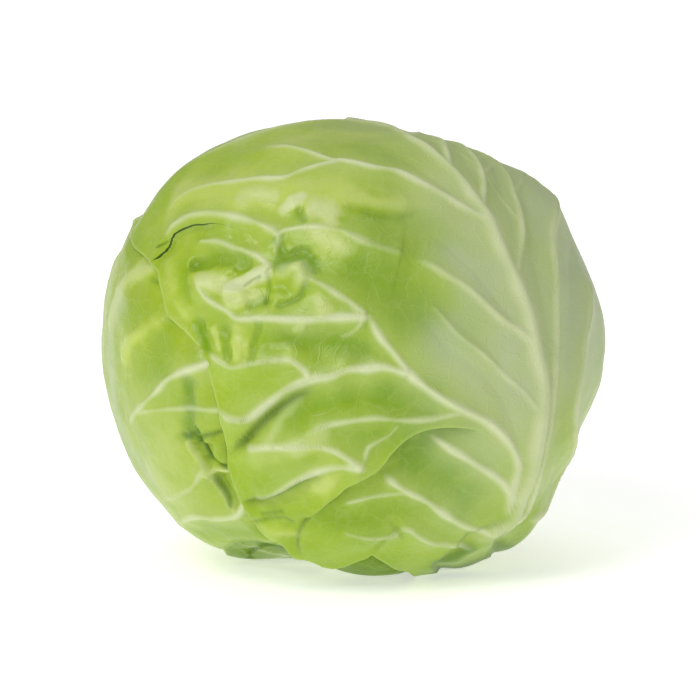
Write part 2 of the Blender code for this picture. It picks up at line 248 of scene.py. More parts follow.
def distance_to(points: Array, path: Array, reach: float) -> tuple[Array, Array, Array]:
    """How points lie beside a path on the head.

    Args:
        points: Points on the head, in millimetres from its centre.
        path: The path's points, in millimetres too.
        reach: How far from the path the distance matters. Beyond it, a point is infinitely far.

    Returns:
        The distance, the share of the path that lies before the nearest place (0 to 1), and the
        side: 1 where the point is to the left of the path as seen from outside, and else -1.
    """
    away = np.full(len(points), np.inf)
    share = np.zeros(len(points))
    side = np.ones(len(points))
    middle = path.mean(axis=0)
    bound = np.linalg.norm(path - middle, axis=1).max() + reach
    near = np.flatnonzero(np.linalg.norm(points - middle, axis=1) < bound)
    if not len(near):
        return away, share, side
    close = points[near]
    nearest = np.argmin((path * path).sum(axis=1) - 2.0 * close @ path.T, axis=1)
    best = np.full(len(near), np.inf)
    where = np.zeros(len(near))
    left = np.ones(len(near))
    for step in (-1, 0):
        first = np.clip(nearest + step, 0, len(path) - 2)
        start = path[first]
        run = path[first + 1] - start
        offset = close - start
        along = np.clip((offset * run).sum(axis=1) / np.maximum((run * run).sum(axis=1), 1e-9), 0.0, 1.0)
        gap = offset - along[:, None] * run
        length = np.sqrt((gap * gap).sum(axis=1))
        nearer = length < best
        best = np.where(nearer, length, best)
        where = np.where(nearer, (first + along) / (len(path) - 1), where)
        left = np.where(nearer, np.sign((gap * np.cross(start, run)).sum(axis=1)), left)
    within = best < reach
    away[near[within]] = best[within]
    share[near] = where
    side[near] = left
    return away, share, side


@dataclass
class Relief:
    """What the traced features do to a leaf at some points."""

    lift: Array
    crumple: Array
    masks: dict[str, Array]

    @classmethod
    def flat(cls, count: int) -> "Relief":
        """No relief at so many points."""
        return cls(np.zeros(count), np.zeros(count), Mask.blank(count))

    def mark(self, mask: "Mask", amount: Array) -> None:
        """Puts more of a mask where there is less than this."""
        self.masks[mask.value] = np.maximum(self.masks[mask.value], amount)


class Mask(Enum):
    """What a leaf's material reads from its surface."""

    # The veins' paleness, together with painted highlights.
    VEIN = "vein"
    RIB = "rib"
    # The leaf's own uneven green, with painted shade in recesses and below the pleat, and painted light on
    # swells.
    TONE = "tone"
    BLOOM = "bloom"
    # Painted shade: in creases, under folds and the pleat, and in hollows.
    CREASE = "shaded_crease"
    MARGIN = "margin"
    # Where the slit gapes, which the finish paints with the slit's shade.
    CRACK = "slit_shade"  # distance across the slit, in centimetres, with its side as the sign
    GAPE = "gape"  # how far the slit is open on each side, in centimetres

    @classmethod
    def blank(cls, count: int) -> dict[str, Array]:
        """Every mask at so many points, with nothing marked."""
        masks = {mask.value: np.zeros(count) for mask in cls}
        masks[cls.CRACK.value] += 1.0
        return masks


def on_head(path: Array) -> Array:
    """A path's directions as points on the head's form, in millimetres from its centre."""
    return path * FORM.radius_at(path)[:, None]


def between(pair: Pair, share: Array) -> Array:
    """A value that runs from the pair's first to its second."""
    return pair[0] + (pair[1] - pair[0]) * share


@dataclass(frozen=True)
class Vein:
    """A vein: a narrow ridge on top of a broad tent that the blade hangs from.

    The values that are pairs are those at its start and at its end. Lengths are in millimetres.
    """

    path: Array
    height: Pair = (1.0, 0.5)
    width: Pair = (1.3, 0.8)
    tent: Pair = (1.6, 0.8)
    tent_width: float = 9.0
    paleness: Pair = (0.9, 0.5)
    fade: float = 0.16  # share of the vein over which its end runs out
    ridge_gain: float = 0.6
    tent_gain: float = 1.15
    valley: float = 1.2  # how far the blade between veins lies below the head's form
    unevenness: Pair = (0.4, 9.0)  # how much the paleness varies, and over what length
    seed: int = 40

    def shape(self, points: Array, relief: Relief, tents: Array) -> None:
        """Adds the vein to a leaf's relief.

        Args:
            points: Points on the head's form.
            relief: The relief, whose masks it marks.
            tents: How far the tents lift each point so far, which it raises.
        """
        path = curve_through(self.path)
        along = np.linspace(0.0, 1.0, len(path))
        tent = np.interp(along, (0.0, 1.0), self.tent)
        ridge = np.interp(along, (0.0, 1.0), self.height)
        path = on_head(VIEW.raised(path, self.tent_gain * tent + self.ridge_gain * ridge - self.valley))
        away, share, _ = distance_to(points, path, 3.2 * self.tent_width)
        ends = smooth(share / 0.04 + 0.5) * smooth((1.0 - share) / self.fade)
        width = between(self.width, share)
        ridge = self.ridge_gain * between(self.height, share) * np.exp(-((away / (0.8 * width)) ** 2)) * ends
        relief.lift = np.maximum(relief.lift, ridge)
        tent = self.tent_gain * between(self.tent, share) * np.exp(-((away / self.tent_width) ** 1.15))
        np.maximum(tents, tent * (0.35 + 0.65 * ends), out=tents)
        near = np.isfinite(away)
        uneven = np.ones(len(points))
        uneven[near] += self.unevenness[0] * wrinkles(points[near], self.unevenness[1], self.seed)
        pale = between(self.paleness, share) * ends * uneven
        width = width * uneven
        relief.mark(Mask.VEIN, 0.94 * pale * np.exp(-((away / width) ** 2)))
        relief.mark(Mask.RIB, 0.9 * pale * np.exp(-((away / (4.0 * width)) ** 1.3)))


@dataclass(frozen=True)
class Crease:
    """A one-sided furrow: steep on the side of its edge and easing out on the other.

    The values that are pairs are those at its start and at its end. Lengths are in millimetres. Its foot is
    darkened with painted shade.
    """

    path: Array
    depth: Pair
    width: float = 5.0
    wall: float = 0.7
    to_left: bool = True
    # how dark and how wide the painted shade at its foot is
    shade_darkness: float = 0.6
    shade_width: float = 1.2
    # the open slit is painted with the slit's shade
    gape: Pair = (0.0, 0.0)  # half of the open slit's width
    above: float = 0.8  # how far above the head's form it was seen
    fade: float = 0.22  # share of the furrow over which each end runs out
    lip: float = 0.3  # how far the wall stands out past the edge

    def shape(self, points: Array, relief: Relief) -> None:
        """Sinks the leaf beside the furrow's edge and paints shade at its foot."""
        path = on_head(VIEW.raised(curve_through(self.path), self.above))
        away, share, side = distance_to(points, path, max(4.0 * self.width, 10.0))
        within = np.isfinite(away)
        signed = away * side * (1.0 if self.to_left else -1.0)
        ends = smooth(share / self.fade) * smooth((1.0 - share) / self.fade)
        if self.gape[0] > 0.0:
            self.open(signed, share, relief)
        inside = smooth((signed + self.lip) / self.wall)
        inside *= np.exp(-((np.maximum(signed, 0.0) / self.width) ** 2))
        relief.lift = relief.lift - between(self.depth, share) * ends * np.where(within, inside, 0.0)
        # Painted shade at the furrow's foot.
        furrow_shade = np.exp(-(((signed - 0.5 * self.shade_width) / self.shade_width) ** 2))
        relief.mark(Mask.CREASE, self.shade_darkness * ends * np.where(within, furrow_shade, 0.0))

    def open(self, signed: Array, share: Array, relief: Relief) -> None:
        """Marks where the furrow gapes, which is painted with the slit's shade.

        Args:
            signed: How far each point lies inside the furrow's edge.
            share: The share of the furrow that lies before it.
            relief: The relief, whose masks it marks.
        """
        slit_shade, gape = (relief.masks[mask.value] for mask in (Mask.CRACK, Mask.GAPE))
        nearer = np.abs(signed) * CM_PER_MM < np.abs(slit_shade)
        half = between(self.gape, share) * smooth((1.0 - share) / 0.3) * smooth(share / 0.12 + 0.1)
        slit_shade[nearer] = (signed * CM_PER_MM)[nearer]
        gape[nearer] = (half * CM_PER_MM)[nearer]


@dataclass(frozen=True)
class Stroke:
    """A soft stroke along a path that lifts the blade, tints it (painted shade and highlights too), or both.
    """

    path: Array
    width: float
    lift: float = 0.0
    tone: float = 0.0
    bloom: float = 0.0
    crumple: float = 0.0
    # how much painted shade it puts on the blade
    shade: float = 0.0
    # how much painted highlight it puts on the blade, in the veins' pale colour
    glint: float = 0.0
    above: float = 0.5  # how far above the head's form it was seen
    edge: float = 2.0  # how crisp its edge is
    unevenness: float = 0.5
    seed: int = 60

    def shape(self, points: Array, relief: Relief) -> None:
        """Adds the stroke's lift and crumpling, and all that it tints, painted shade and highlights too."""
        path = on_head(VIEW.raised(curve_through(self.path) if len(self.path) > 1 else self.path, self.above))
        if len(path) == 1:
            away = np.linalg.norm(points - path[0], axis=1)
        else:
            away, _, _ = distance_to(points, path, 3.0 * self.width)
        near = away < 2.5 * self.width
        away[near] *= 1.0 + self.unevenness * wrinkles(points[near], 1.4 * self.width + 1.2, self.seed)
        strength = np.exp(-((away / self.width) ** self.edge))
        relief.lift = relief.lift + self.lift * strength
        relief.crumple = relief.crumple + self.crumple * strength
        relief.masks[Mask.TONE.value] += self.tone * strength
        relief.masks[Mask.BLOOM.value] += self.bloom * strength
        # Painted shade, and painted highlights through the veins' pale mask.
        relief.mark(Mask.CREASE, self.shade * strength)
        relief.mark(Mask.VEIN, self.glint * strength)


def wrinkles(points: Array, size: float, seed: int) -> Array:
    """Smooth noise from -1 to 1 over the head.

    Args:
        points: Points in millimetres.
        size: How far apart its bumps are, in millimetres.
        seed: Moves the pattern.

    Returns:
        The noise at each point.
    """
    draw = np.random.default_rng(seed)
    order = draw.permutation(256)
    slopes = unit(draw.normal(size=(256, 3)))
    place = points / size + 100.0
    cell = np.floor(place).astype(int)
    part = place - cell
    ease = part**3 * (part * (part * 6.0 - 15.0) + 10.0)
    values = np.zeros(len(points))
    for corner in np.ndindex(2, 2, 2):
        across, along, up = (cell + corner).T % 256
        slope = slopes[order[(order[(order[across] + along) % 256] + up) % 256]]
        weight = np.where(np.array(corner) == 1, ease, 1.0 - ease).prod(axis=1)
        values += weight * (slope * (part - corner)).sum(axis=1)
    return 1.6 * values


@dataclass(frozen=True)
class Branching:
    """How veins leave a midrib by turns, bend towards its tip and fork. Angles are in degrees."""

    pairs: int
    seed: int
    reach: float  # of the first vein
    sides: tuple[float, ...] = (-1.0, 1.0)  # 1 for the left of the midrib, -1 for its right
    starts: Pair = (0.08, 0.84)  # the midrib's share before the first vein, and the share that bears them
    turn: Pair = (46.0, 14.0)  # the least turn from the midrib, and how much it varies
    steps: tuple[float, ...] = (0.2, 0.4, 0.6, 0.8, 1.0)
    fork_steps: tuple[float, ...] = (0.35, 0.7, 1.0)
    forks: int = 3

    def veins(self, midrib: Array) -> list[Vein]:
        """The side veins of a midrib, each followed by its forks."""
        draw = np.random.default_rng(self.seed)
        spine = curve_through(midrib, 12)
        made: list[Vein] = []
        for side in self.sides:
            for k in range(self.pairs):
                at = self.starts[0] + self.starts[1] * (k + 0.25 + 0.5 * draw.random()) / self.pairs
                place = min(int(at * (len(spine) - 1)), len(spine) - 3)
                here = spine[place]
                heading = unit(spine[place + 2] - here)
                across = side * np.cross(here, heading)
                turn = math.radians(self.turn[0] + self.turn[1] * draw.random())
                far = math.radians(self.reach * (1.12 - 0.55 * at) * (0.85 + 0.3 * draw.random()))
                trail = [here]
                for share in self.steps:
                    bend = turn * (1.0 - 0.45 * share) + 0.10 * (draw.random() - 0.5)
                    step = math.cos(bend) * heading + math.sin(bend) * across
                    trail.append(unit(here + math.tan(min(far * share, 1.25)) * step))
                made.append(Vein(np.array(trail), (1.2, 0.4), (1.4, 0.8), (2.2, 0.7), 10.0, (0.85, 0.4)))
                for fork in range(self.forks):
                    way = side * (1.0 if (fork + k) % 2 else -1.0)
                    made.append(self.fork(trail[1 + fork : 3 + fork], way, far * (0.42 - 0.08 * fork), draw))
        return made

    def fork(self, stretch: list[Array], way: float, far: float, draw: np.random.Generator) -> Vein:
        """A short vein that forks off another.

        Args:
            stretch: The other vein's point where it starts, and the next.
            way: 1 for the left, -1 for the right.
            far: How far it reaches, in radians.
            draw: Gives what differs between forks.

        Returns:
            The short vein.
        """
        start, following = stretch
        onward = unit(following - start)
        aside = np.cross(start, onward) * way
        path = [start]
        for share in self.fork_steps:
            step = onward + (0.55 + 0.25 * draw.random()) * aside
            path.append(unit(start + math.tan(far * share) * unit(step)))
        return Vein(np.array(path), (0.6, 0.2), (0.9, 0.6), (1.0, 0.3), 6.0, (0.5, 0.2))


def vertices_of(piece: bpy.types.Object) -> Array:
    """The places of a piece's vertices."""
    places = np.empty(len(piece.data.vertices) * 3)
    piece.data.vertices.foreach_get("co", places)
    return places.reshape(-1, 3)


def move_vertices(piece: bpy.types.Object, points: Array, centre: Vector) -> None:
    """Moves a piece's vertices to points given in millimetres from the head's centre."""
    piece.data.vertices.foreach_set("co", (points * MM + np.array(centre)).ravel())
    piece.data.update()


def hand_over(piece: bpy.types.Object, node: str, material: bpy.types.Material) -> None:
    """Dresses a finished piece, which rides on the head in the place of a node."""
    bpy.ops.object.shade_smooth()
    piece.data.materials.append(material)
    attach(piece, "root")
    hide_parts(node)
    LOG.info("%s: %d faces", piece.name, len(piece.data.polygons))


@dataclass
class Skin:
    """A leaf's vertices while they are laid, row by row from the outer face's middle to the inner one's."""

    row: Array
    turn: Array
    points: Array
    masks: dict[str, Array]
    edge: tuple[Array, Array] = (np.zeros(1), np.zeros(1))  # turns and radii of the outer face's last row

    def edge_radius(self, turn: Array) -> Array:
        """How far the outer face's edge is from the head's centre at each turn."""
        return np.interp(turn, *self.edge, period=2.0 * math.pi)


@dataclass
class LeafShell:
    """A wrapper leaf as a closed shell. Lengths are in millimetres."""

    name: str
    node: str
    middle: Array
    outline: Array
    veins: list[Vein] = field(default_factory=list)
    creases: list[Crease] = field(default_factory=list)
    strokes: list[Stroke] = field(default_factory=list)
    segments: int = 420
    outer_rows: int = 110
    sunk: float = 0.0  # how far its face lies below the head's form
    thickness: float = 0.9
    body_thickness: float = 2.0  # away from the edge, where no one sees its inner face
    pucker: float = 0.45
    sag: float = 1.2
    edge_lift: float = 0.6
    edge_waves: float = 0.5
    tone: float = 0.0
    seed: int = 1
    above: list["LeafShell"] = field(default_factory=list)
    dents: tuple[Lobe, ...] = ()
    layer_step: float = 3.4
    inner_shares: tuple[float, ...] = (1.0, 0.992, 0.97, 0.93, 0.87, 0.78, 0.66, 0.52, 0.38, 0.25, 0.12)
    rim_turns: tuple[float, ...] = (50.0, 90.0, 130.0)
    wrinkle_sizes: tuple[float, float, float] = (17.0, 8.0, 4.5)
    lip_width: float = 3.0
    inner_tone: float = -0.3
    dense_at: Array | None = None  # where its columns lie closest
    density: float = 0.0  # how much closer they are there (0 to 1)

    def cover(self, directions: Array) -> Array:
        """How far each direction lies inside the leaf's edge, in millimetres, or outside it if negative."""
        round_edge = np.linspace(-math.pi, math.pi, 241)
        rim = self.direction(round_edge, self.reach(round_edge)) * FORM.radius
        away, _, _ = distance_to(unit(directions) * FORM.radius, rim, 20.0)
        turn, angle = self.polar(directions)
        return np.where(angle < self.reach(turn), 1.0, -1.0) * np.minimum(away, 20.0)

    def buried(self, directions: Array) -> tuple[Array, Array]:
        """How the leaves that lie above this one bury it.

        Args:
            directions: Where on the leaf.

        Returns:
            How far down it has to go, in millimetres, and how plainly it shows (0 to 1).
        """
        depth = np.zeros(len(directions))
        shows = np.ones(len(directions))
        for leaf in self.above:
            inside = leaf.cover(directions)
            depth += self.layer_step * smooth((inside + 5.0) / 12.0)
            shows *= 1.0 - smooth((inside + 1.0) / 6.0)
        return depth, shows

    def __post_init__(self) -> None:
        """Sets up the polar frame round the leaf's middle."""
        up = np.array([0.0, 0.0, 1.0]) if abs(self.middle[2]) < 0.9 else np.array([0.0, 1.0, 0.0])
        self.across = unit(np.cross(up, self.middle))
        self.along = np.cross(self.middle, self.across)
        turns, reach = self.polar(self.outline)
        order = np.argsort(turns)
        self.edge = (turns[order], reach[order])
        self.even = self.evened(self.reach)
        self.dense_turn = 0.0 if self.dense_at is None else self.polar(self.dense_at)[0]

    @staticmethod
    def evened(reach: Callable[[Array], Array], spread: float = 14.0) -> tuple[Array, Array]:
        """A run of reaches with its sudden changes smoothed out.

        Args:
            reach: Gives the reach at each turn.
            spread: How far the smoothing goes, in degrees.

        Returns:
            Turns, and the even reach at each.
        """
        turns = np.linspace(-math.pi, math.pi, 361)[:-1]
        raw = reach(turns)
        apart = np.angle(np.exp(1j * (turns[:, None] - turns[None, :])))
        weight = np.exp(-0.5 * (apart / math.radians(spread)) ** 2)
        return turns, np.minimum(weight @ raw / weight.sum(axis=1), 1.3 * raw)

    @staticmethod
    def spaced(share: Array, turn: Array, even: tuple[Array, Array], reach: Array) -> Array:
        """Angles from the middle that run evenly at first and meet the true reach at the end."""
        level = np.interp(turn, *even, period=2.0 * math.pi)
        return share * level + (reach - level) * share**3

    def polar(self, directions: Array) -> tuple[Array, Array]:
        """The turn round the leaf's middle and the angle from it, in radians."""
        turn = np.arctan2(directions @ self.along, directions @ self.across)
        return turn, np.arccos(np.clip(directions @ self.middle, -1.0, 1.0))

    def reach(self, turn: Array) -> Array:
        """The angle from the middle to the leaf's edge at each turn, with small waves along it."""
        reach = np.interp(turn, *self.edge, period=2.0 * math.pi)
        ripple = np.sin(17.0 * turn + self.seed) + 0.6 * np.sin(41.0 * turn + 2.0 * self.seed)
        return reach + self.edge_waves * ripple * 0.6 / FORM.radius

    def direction(self, turn: Array, angle: Array) -> Array:
        """The direction at a turn round the leaf's middle and an angle from it."""
        flat = np.cos(turn)[:, None] * self.across + np.sin(turn)[:, None] * self.along
        return np.cos(angle)[:, None] * self.middle + np.sin(angle)[:, None] * flat

    def surface(self, directions: Array, edge_gap: Array) -> tuple[Array, Relief]:
        """The outer face.

        Args:
            directions: Where on the leaf.
            edge_gap: How far each place is from the leaf's edge, in millimetres.

        Returns:
            Its distance from the head's centre, and its relief.
        """
        base = FORM.radius_at(directions)
        points = directions * base[:, None]
        dent = sum((lobe.at(directions) for lobe in self.dents), np.zeros(len(points)))
        relief = Relief.flat(len(points))
        tents = np.zeros(len(points))
        for vein in self.veins:
            vein.shape(points, relief, tents)
        for stroke in self.strokes:
            stroke.shape(points, relief)
        for shaded_crease in self.creases:
            shaded_crease.shape(points, relief)
        panel = 1.0 - np.clip(relief.masks[Mask.RIB.value], 0.0, 1.0)
        sizes = self.wrinkle_sizes
        broad, fine, finer = (wrinkles(points, size, self.seed + k) for size, k in zip(sizes, (0, 5, 7)))
        waves = 1.2 * broad + (0.4 + 2.2 * relief.crumple) * fine + 0.9 * relief.crumple * finer
        blade = self.pucker * panel * waves
        lip = self.edge_lift * np.exp(-edge_gap / self.lip_width)
        lip *= 0.6 + 0.8 * wrinkles(points, 14.0, self.seed + 9)
        depth, shows = self.buried(directions)
        lift = (relief.lift + tents + blade + lip) * (0.15 + 0.85 * shows) - self.sag
        foot = smooth((FORM.floor_at(directions) - base) / 4.0)
        hollow = np.minimum(relief.lift, 0.0) * (1.0 - foot)
        radius = base + dent - self.sunk + lift * foot + hollow - depth
        radius = np.minimum(radius, FORM.floor_at(directions))
        relief.masks[Mask.TONE.value] += self.tone + 0.16 * broad
        relief.mark(Mask.MARGIN, np.exp(-((edge_gap / 0.8) ** 2)))
        return radius, relief

    def outer_places(self, turn: Array, row: Array) -> tuple[Array, Array]:
        """Directions of the outer face's vertices, and how far each is from the edge."""
        reach = self.reach(turn)
        angle = self.spaced(row / self.outer_rows, turn, self.even, reach)
        return self.direction(turn, angle), (reach - angle) * FORM.radius

    def outer_radius(
        self, turn: Array, row: Array, directions: Array, gap: Array
    ) -> tuple[Array, Array, Relief]:
        """Directions and radii of the outer face's vertices, and their relief."""
        radius, relief = self.surface(directions, gap)
        return directions, radius, relief

    def ball(self) -> tuple[bpy.types.Object, Skin]:
        """Adds the sphere that becomes the leaf.

        Returns:
            The sphere, and a skin with the row and the turn of each of its vertices.
        """
        rows = self.outer_rows + len(self.rim_turns) + len(self.inner_shares) + 1
        coarse = {"segments": self.segments // CUTS, "ring_count": rows // CUTS}
        bpy.ops.object.select_all(action="DESELECT")
        bpy.ops.mesh.primitive_uv_sphere_add(radius=1.0, **coarse)
        bpy.ops.object.mode_set(mode="EDIT")
        bpy.ops.mesh.select_all(action="SELECT")
        bpy.ops.mesh.subdivide(number_cuts=CUTS - 1)
        bpy.ops.object.mode_set(mode="OBJECT")
        piece = bpy.context.object
        piece.name = self.name
        piece.data.name = self.name
        places = vertices_of(piece)
        row = np.rint(np.arccos(np.clip(unit(places)[:, 2], -1.0, 1.0)) / math.pi * rows).astype(int)
        turn = np.arctan2(places[:, 1], places[:, 0])
        turn = turn - self.density * np.sin(turn - self.dense_turn)
        turn = np.arctan2(np.sin(turn), np.cos(turn))
        return piece, Skin(row, turn, np.zeros(places.shape), Mask.blank(len(places)))

    def lay_outer(self, skin: Skin) -> None:
        """Lays the outer face and notes its edge."""
        outer = np.flatnonzero(skin.row <= self.outer_rows)
        turn, row = skin.turn[outer], skin.row[outer]
        places, radius, relief = self.outer_radius(turn, row, *self.outer_places(turn, row))
        skin.points[outer] = places * radius[:, None]
        for name, values in relief.masks.items():
            skin.masks[name][outer] = values
        edge = outer[row == self.outer_rows]
        edge = edge[np.argsort(skin.turn[edge])]
        skin.edge = (skin.turn[edge], np.linalg.norm(skin.points[edge], axis=1))

    def lay_rim(self, skin: Skin) -> None:
        """Lays the rim, which rounds from the outer face's edge to the inner one's."""
        for k, rim_turn in enumerate(np.radians(self.rim_turns)):
            rim = np.flatnonzero(skin.row == self.outer_rows + 1 + k)
            turn = skin.turn[rim]
            bulge = 0.5 * self.thickness * math.sin(rim_turn) / FORM.radius
            drop = 0.5 * self.thickness * (1.0 - math.cos(rim_turn))
            place = self.direction(turn, self.reach(turn) + bulge)
            skin.points[rim] = place * (skin.edge_radius(turn) - drop)[:, None]
            skin.masks[Mask.MARGIN.value][rim] = 1.0

    def lay_inner(self, skin: Skin) -> None:
        """Lays the inner face, which stays under the outer one and under the leaves above."""
        first = self.outer_rows + len(self.rim_turns) + 1
        inner = np.flatnonzero(skin.row >= first)
        turn = skin.turn[inner]
        reach = self.reach(turn)
        share = np.append(self.inner_shares, 0.0)[skin.row[inner] - first]
        angle = self.spaced(share, turn, self.even, reach)
        place = self.direction(turn, angle)
        gap = (reach - angle) * FORM.radius
        near_edge = np.exp(-gap / 4.0)
        under = FORM.radius_at(place) - self.sunk - self.buried(place)[0]
        face = np.minimum(under, self.surface(place, gap)[0])
        face = near_edge * skin.edge_radius(turn) + (1.0 - near_edge) * face
        depth = self.thickness + (self.body_thickness + self.sag) * smooth(gap / 9.0)
        skin.points[inner] = place * (face - depth)[:, None]
        skin.masks[Mask.TONE.value][inner] = self.inner_tone

    def build(self, centre: Vector, finish: "LeafFinish") -> bpy.types.Object:
        """Makes the leaf.

        Args:
            centre: The head's centre in metres.
            finish: The leaf's finish.

        Returns:
            The finished piece.
        """
        piece, skin = self.ball()
        self.lay_outer(skin)
        self.lay_rim(skin)
        self.lay_inner(skin)
        for name, values in skin.masks.items():
            layer = piece.data.attributes.new(name, "FLOAT", "POINT")
            layer.data.foreach_set("value", np.clip(values, -1.0, 1.0).astype(np.float32))
        move_vertices(piece, skin.points, centre)
        bpy.ops.object.mode_set(mode="EDIT")
        bpy.ops.mesh.select_all(action="SELECT")
        bpy.ops.mesh.normals_make_consistent(inside=False)
        bpy.ops.object.mode_set(mode="OBJECT")
        hand_over(piece, self.node, finish.material())
        return piece


@dataclass
class PleatedLeaf(LeafShell):
    """A leaf with a pleat: along the pleat's edge the blade doubles back under itself."""

    pleat: Array = field(default_factory=lambda: np.zeros((0, 3)))
    pleat_height: float = 3.6
    pleat_ends: Pair = (0.1, 0.25)  # share of the pleat over which each end fades in
    rows_to_pleat: int = 118
    flat_spacing: float = 0.3  # between the rows of the pleat where there is none
    # Across the pleat: how far out each row lies, and how far down (0 the top blade, 1 the lower one)
    pleat_section: tuple[Pair, ...] = (
        (0.25, 0.06), (0.38, 0.2), (0.2, 0.34), (-0.6, 0.45), (-2.4, 0.7), (-2.8, 0.95), (-1.2, 1.0)
    )

    def __post_init__(self) -> None:
        """Finds the pleat's place in the leaf's polar frame."""
        super().__post_init__()
        turns, reach = self.polar(curve_through(self.pleat))
        order = np.argsort(turns)
        turns, reach = turns[order], reach[order]
        share = np.minimum(reach / self.reach(turns), 0.94)
        rest = math.radians(26.0)
        self.pleat_turns = np.concatenate([[turns[0] - rest], turns, [turns[-1] + rest]])
        self.pleat_shares = np.concatenate([[0.72], share, [0.72]])
        self.pleat_span = (turns[0], turns[-1])
        self.even_fold = self.evened(lambda turn: self.pleat_share(turn) * self.reach(turn))

    def pleat_share(self, turn: Array) -> Array:
        """The share of the reach at which the pleat's edge lies."""
        return np.interp(turn, self.pleat_turns, self.pleat_shares, period=2.0 * math.pi)

    def pleat_strength(self, turn: Array) -> Array:
        """1 along the pleat, fading to 0 at its ends and 0 elsewhere."""
        start, end = self.pleat_span
        place = (turn - start) / (end - start)
        return smooth(place / self.pleat_ends[0]) * smooth((1.0 - place) / self.pleat_ends[1])

    def outer_places(self, turn: Array, row: Array) -> tuple[Array, Array]:
        """Directions of the outer face's vertices, and how far each is from the edge."""
        section = len(self.pleat_section)
        after = self.outer_rows - self.rows_to_pleat - section
        reach = self.reach(turn)
        fold = self.pleat_share(turn) * reach
        share = np.minimum(row, self.rows_to_pleat) / self.rows_to_pleat
        upper = self.spaced(share, turn, self.even_fold, fold)
        beyond = np.clip((row - self.rows_to_pleat - section) / after, 0.0, 1.0)
        inside = np.clip(row - self.rows_to_pleat, 0, section) * (1.0 - beyond)
        spread = self.flat_spacing * (1.0 - self.pleat_strength(turn)) * inside / FORM.radius
        angle = np.minimum(upper + (reach - fold) * beyond + spread, reach)
        return self.direction(turn, angle), (reach - angle) * FORM.radius

    def outer_radius(
        self, turn: Array, row: Array, directions: Array, gap: Array
    ) -> tuple[Array, Array, Relief]:
        """Directions and radii of the outer face's vertices, with the blade doubled back at the pleat."""
        radius, relief = self.surface(directions, gap)
        _, angle = self.polar(directions)
        from_pleat = (angle - self.pleat_share(turn) * self.reach(turn)) * FORM.radius
        strength = self.pleat_strength(turn)
        step = self.pleat_height * strength
        top = step * 0.62 * np.exp(-np.maximum(-from_pleat, 0.0) / 9.0)
        low = -step * 0.38 * np.exp(-np.maximum(from_pleat, 0.0) / 8.0)
        section = np.array(self.pleat_section)
        inside = row - self.rows_to_pleat - 1
        within = (inside >= 0) & (inside < len(section))
        out, down = section[np.clip(inside, 0, len(section) - 1)].T
        rise = np.where(inside < 0, top, low)
        rise = np.where(within, step * (0.62 - down), rise)
        radius = radius + rise
        moved = angle + np.where(within, out * strength / FORM.radius, 0.0)
        directions = self.direction(turn, moved)
        relief.mark(Mask.MARGIN, 0.9 * strength * np.exp(-((from_pleat / 0.9) ** 2)) * (inside < 2))
        # Painted shadow under the pleat's lip, and painted shade that darkens the lower blade below it.
        under = strength * np.exp(-np.maximum(from_pleat, 0.0) / 1.6) * (inside >= 3)
        relief.mark(Mask.CREASE, 0.85 * under)
        below = strength * np.exp(-np.maximum(from_pleat, 0.0) / 9.0) * (inside >= 3)
        relief.masks[Mask.TONE.value] += 0.35 * below
        return directions, radius, relief


class Socket:
    """A shader socket whose arithmetic adds Math nodes to its tree."""

    def __init__(self, tree: bpy.types.NodeTree, socket: bpy.types.NodeSocket) -> None:
        """Wraps a socket of a tree."""
        self.tree = tree
        self.socket = socket

    def math(self, operation: str, *others: "Socket | float", swapped: bool = False) -> "Socket":
        """A Math node of this socket and others, or of them the other way round."""
        inputs = (*others, self) if swapped else (self, *others)
        made = self.tree.nodes.new("ShaderNodeMath")
        made.operation = operation
        for slot, value in zip(made.inputs, inputs):
            if isinstance(value, Socket):
                self.tree.links.new(value.socket, slot)
            else:
                slot.default_value = value
        return Socket(self.tree, made.outputs[0])

    def __add__(self, other: "Socket | float") -> "Socket":
        """This plus other."""
        return self.math("ADD", other)

    def __radd__(self, other: float) -> "Socket":
        """Other plus this."""
        return self.math("ADD", other, swapped=True)

    def __sub__(self, other: "Socket | float") -> "Socket":
        """This less other."""
        return self.math("SUBTRACT", other)

    def __rsub__(self, other: float) -> "Socket":
        """Other less this."""
        return self.math("SUBTRACT", other, swapped=True)

    def __mul__(self, other: "Socket | float") -> "Socket":
        """This times other."""
        return self.math("MULTIPLY", other)

    def __rmul__(self, other: float) -> "Socket":
        """Other times this."""
        return self.math("MULTIPLY", other, swapped=True)

    def __truediv__(self, other: "Socket | float") -> "Socket":
        """This over other."""
        return self.math("DIVIDE", other)

    def __rtruediv__(self, other: float) -> "Socket":
        """Other over this."""
        return self.math("DIVIDE", other, swapped=True)

    def __pow__(self, other: float) -> "Socket":
        """This to the power of other."""
        return self.math("POWER", other)

    def clamp(self) -> "Socket":
        """This, kept from 0 to 1."""
        return self.math("MAXIMUM", 0.0).math("MINIMUM", 1.0)


